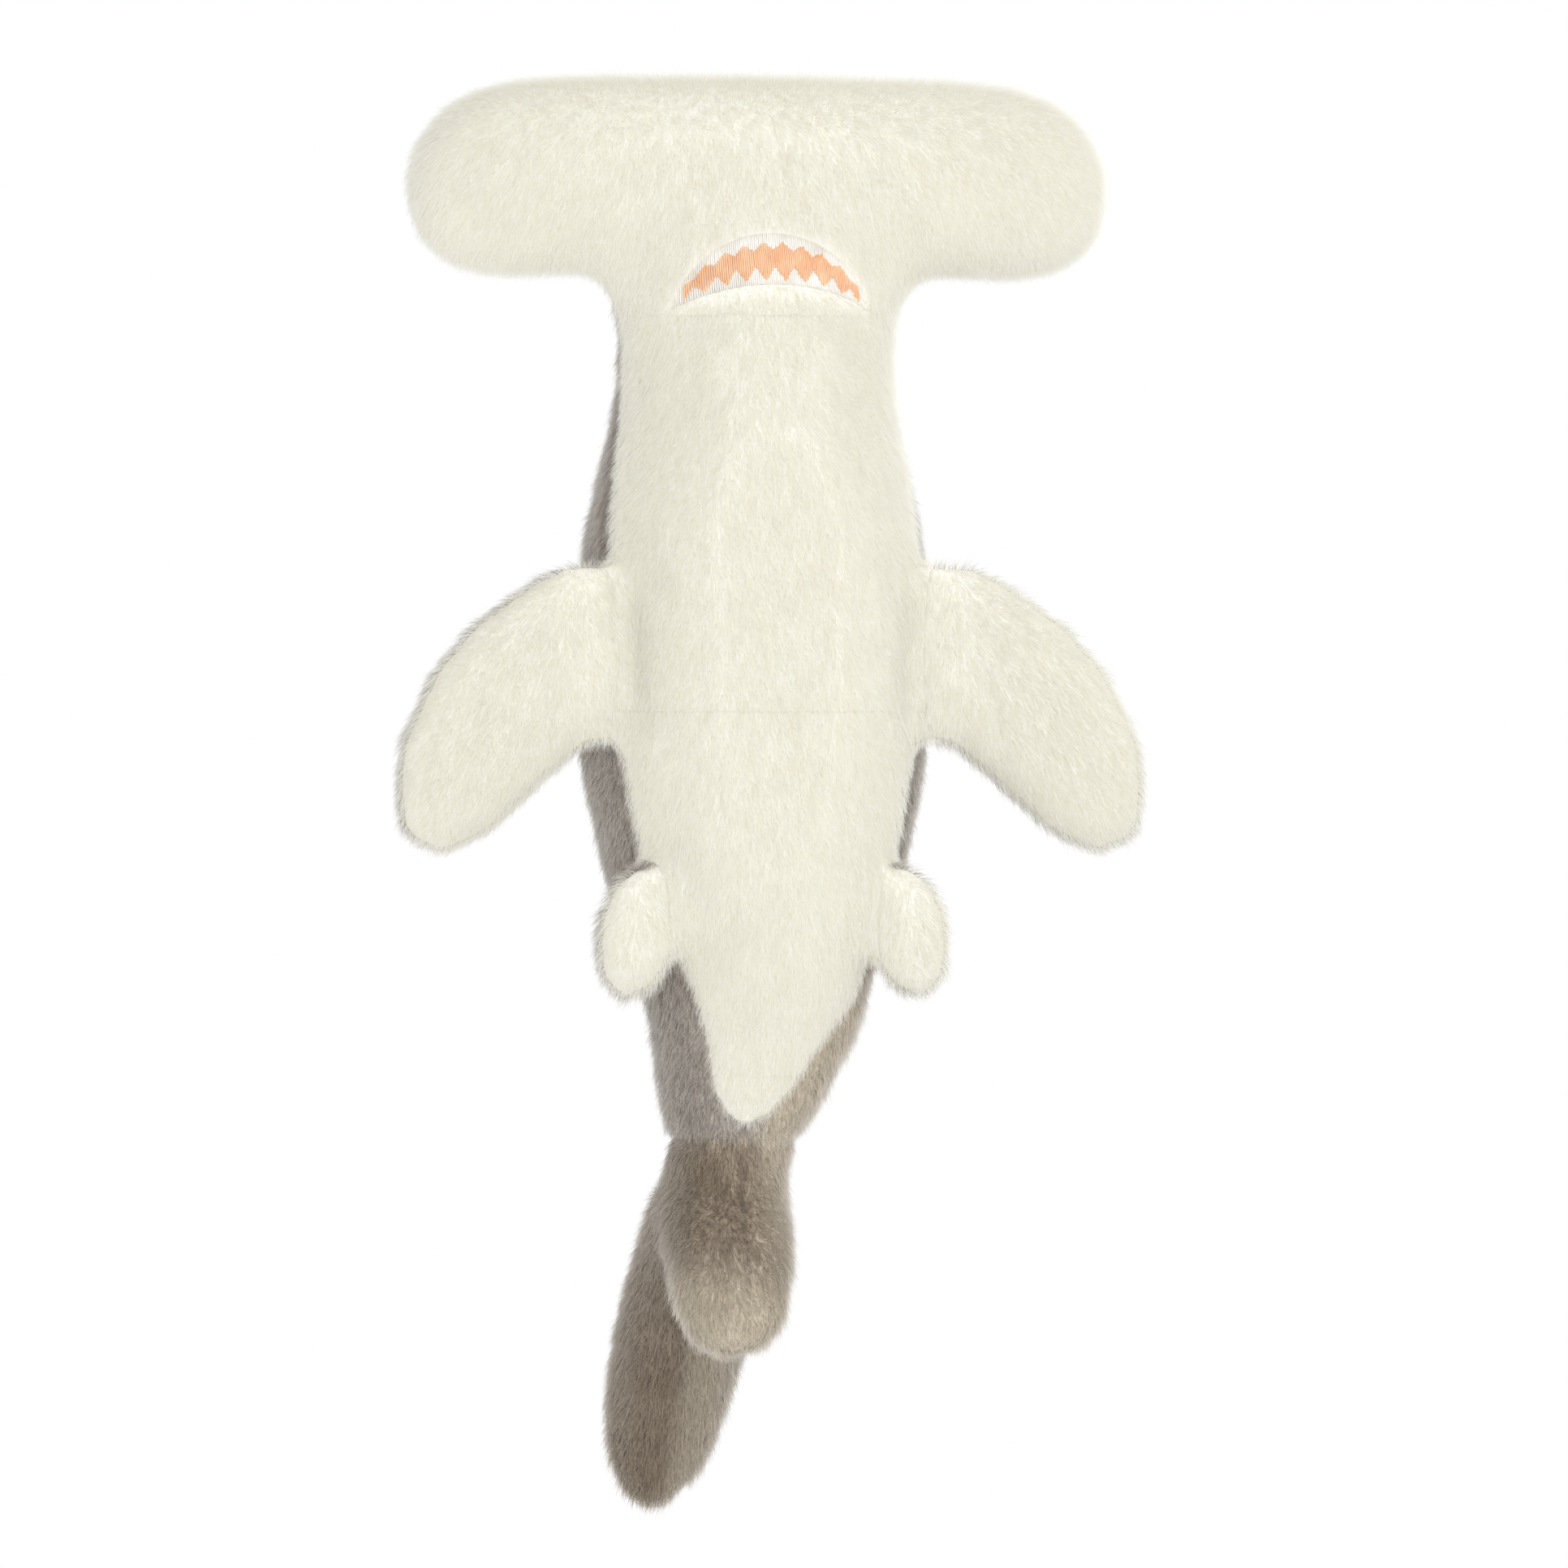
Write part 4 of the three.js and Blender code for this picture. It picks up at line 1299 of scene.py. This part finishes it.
def make_mouth():
    surface = tree_of(SKINS["head_underside"].data)
    white = thread_material("satin_thread", rgba(250, 248, 243), rgba(232, 226, 216))
    peach = thread_material("gum_thread", rgba(250, 208, 170), rgba(240, 176, 126))
    patch = lay_threads("mouth_threads", surface, MOUTH.half_width, MOUTH.front, MOUTH.rear, 0.0, white)
    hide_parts("mouth_patch")
    reach, front, rear = gum_edges()
    gum = lay_threads("gum_threads", surface, reach, front, rear, GUM_RISE, peach)
    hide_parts("gum_embroidery")


make_mouth()

# -------------------------------- eyes

EYE_SEGMENTS = 48
DOME_STEPS = 14


def eye_material():
    material, tree = new_material("eye_plastic")
    wear = ramp(tree, noise_value(tree, position(tree), 1500, 5), 0.45, 0.8, 0.06, 0.16)
    inputs = {"Base Color": rgba(14, 13, 14), "Roughness": wear, "Coat Weight": 0.6, "Coat Roughness": 0.03}
    finish_material(tree, principled(tree, inputs))
    return material


def make_eye(eye, material):
    """A domed plastic eye on its shank, turned about its own axis."""
    rim, shank = 0.5 * MM, 2.0 * MM
    profile = [(0, -eye.depth), (shank, -eye.depth), (shank, -rim), (eye.radius - rim, -rim)]
    profile.append((eye.radius, 0))
    for step in range(1, DOME_STEPS + 1):
        angle = math.pi / 2 * step / DOME_STEPS
        profile.append((eye.radius * math.cos(angle), eye.dome * math.sin(angle)))
    mesh = bmesh.new()
    rings = []
    for radius, height in profile:
        if radius < 1e-6:
            rings.append([mesh.verts.new((0, 0, height))])
            continue
        angles = [2 * math.pi * index / EYE_SEGMENTS for index in range(EYE_SEGMENTS)]
        rings.append([mesh.verts.new((radius * math.cos(a), radius * math.sin(a), height)) for a in angles])
    for first, second in zip(rings, rings[1:]):
        for index in range(EYE_SEGMENTS):
            corners = [ring[i % len(ring)] for ring, i in
                       ((first, index), (first, index + 1), (second, index + 1), (second, index))]
            mesh.faces.new(list(dict.fromkeys(corners)))
    data = smooth_mesh(f"{eye.name}_dome", mesh, material)
    data.transform(Matrix.Translation(eye.base) @ eye.axis.to_track_quat("Z", "Y").to_matrix().to_4x4())
    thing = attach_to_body(link(f"{eye.name}_dome", data), "head")
    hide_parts(eye.name)


EYE_MATERIAL = eye_material()
for an_eye in EYES:
    make_eye(an_eye, EYE_MATERIAL)

# -------------------------------- hidden parts that keep their CAD shape

for node_name, cad_node in NODES.items():
    for word, hidden_material in HIDDEN.items():
        if word in node_name:
            cad_node.data.materials.clear()
            cad_node.data.materials.append(hidden_material)

# -------------------------------- floor, light and camera

VIEW_ROLL = math.radians(11)          # the toy is seen from below, rolled a little about its length
VIEW_CENTRE = Vector((8.5, 24.9, 38)) * MM
VIEW_WIDTH = 415.4 * MM
VIEW_DISTANCE = 3.0


def make_floor():
    """A pale floor that only shows, and only takes shadows, from above."""
    mesh = bmesh.new()
    bmesh.ops.create_grid(mesh, x_segments=8, y_segments=8, size=2.5)
    data = new_mesh("floor", mesh)
    material, tree = new_material("floor_paper")
    grain = noise_value(tree, position(tree), 90, 4)
    colour = mix_colour(tree, ramp(tree, grain, 0.3, 0.7), rgba(236, 235, 232), rgba(242, 241, 238))
    paper, glow = coloured(tree, "BsdfDiffuse", colour), coloured(tree, "Emission", colour)
    from_below = add(tree, "ShaderNodeNewGeometry").outputs["Backfacing"]
    clear = add(tree, "ShaderNodeBsdfTransparent").outputs[0]
    finish_material(tree, mix_shader(tree, from_below, mix_shader(tree, 0.4, paper, glow), clear))
    data.materials.append(material)
    floor = link("floor", data)
    floor.visible_diffuse = floor.visible_glossy = floor.visible_transmission = floor.visible_shadow = False


def make_world():
    """White all round to the camera, a little softer as light."""
    world = bpy.data.worlds.new("studio")
    SCENE.world = world
    world.use_nodes = True
    tree = world.node_tree
    tree.nodes.clear()
    seen = add(tree, "ShaderNodeLightPath").outputs["Is Camera Ray"]
    strength = ramp(tree, seen, 0, 1, 0.66, 1.0)
    back = coloured(tree, "Background", (1, 1, 1, 1), Strength=strength)
    add(tree, "ShaderNodeOutputWorld", {"Surface": back})


def make_light(name, where, size, power):
    lamp = bpy.data.lights.new(name, "AREA")
    lamp.size = size
    lamp.energy = power
    thing = link(name, lamp)
    thing.location = where
    thing.rotation_euler = (VIEW_CENTRE - Vector(where)).to_track_quat("-Z", "Y").to_euler()
    thing.visible_camera = False


def make_camera():
    look = Vector((math.sin(VIEW_ROLL), 0, math.cos(VIEW_ROLL)))
    right = Vector((math.cos(VIEW_ROLL), 0, -math.sin(VIEW_ROLL)))
    up = Vector((0, -1, 0))
    lens = bpy.data.cameras.new("camera")
    lens.sensor_width = 36
    lens.lens = lens.sensor_width * VIEW_DISTANCE / VIEW_WIDTH
    lens.clip_end = 20
    camera = link("camera", lens)
    turn = Matrix((right, up, -look)).transposed().to_4x4()
    camera.matrix_world = Matrix.Translation(VIEW_CENTRE - look * VIEW_DISTANCE) @ turn
    SCENE.camera = camera


make_floor()
make_world()
make_light("key", (0.7, -0.5, 1.1), 1.0, 12)
make_light("fill", (-0.9, 0.5, 0.8), 1.2, 6)
make_light("below", (-0.05, -0.1, -1.5), 1.5, 15.5)
make_light("below_right", (1.1, 0.0, -0.7), 0.9, 2)
make_camera()
SCENE.view_settings.view_transform = "Standard"

for skin_name, visual_skin in SKINS.items():
    visual_skin.name = f"{skin_name}_skin"
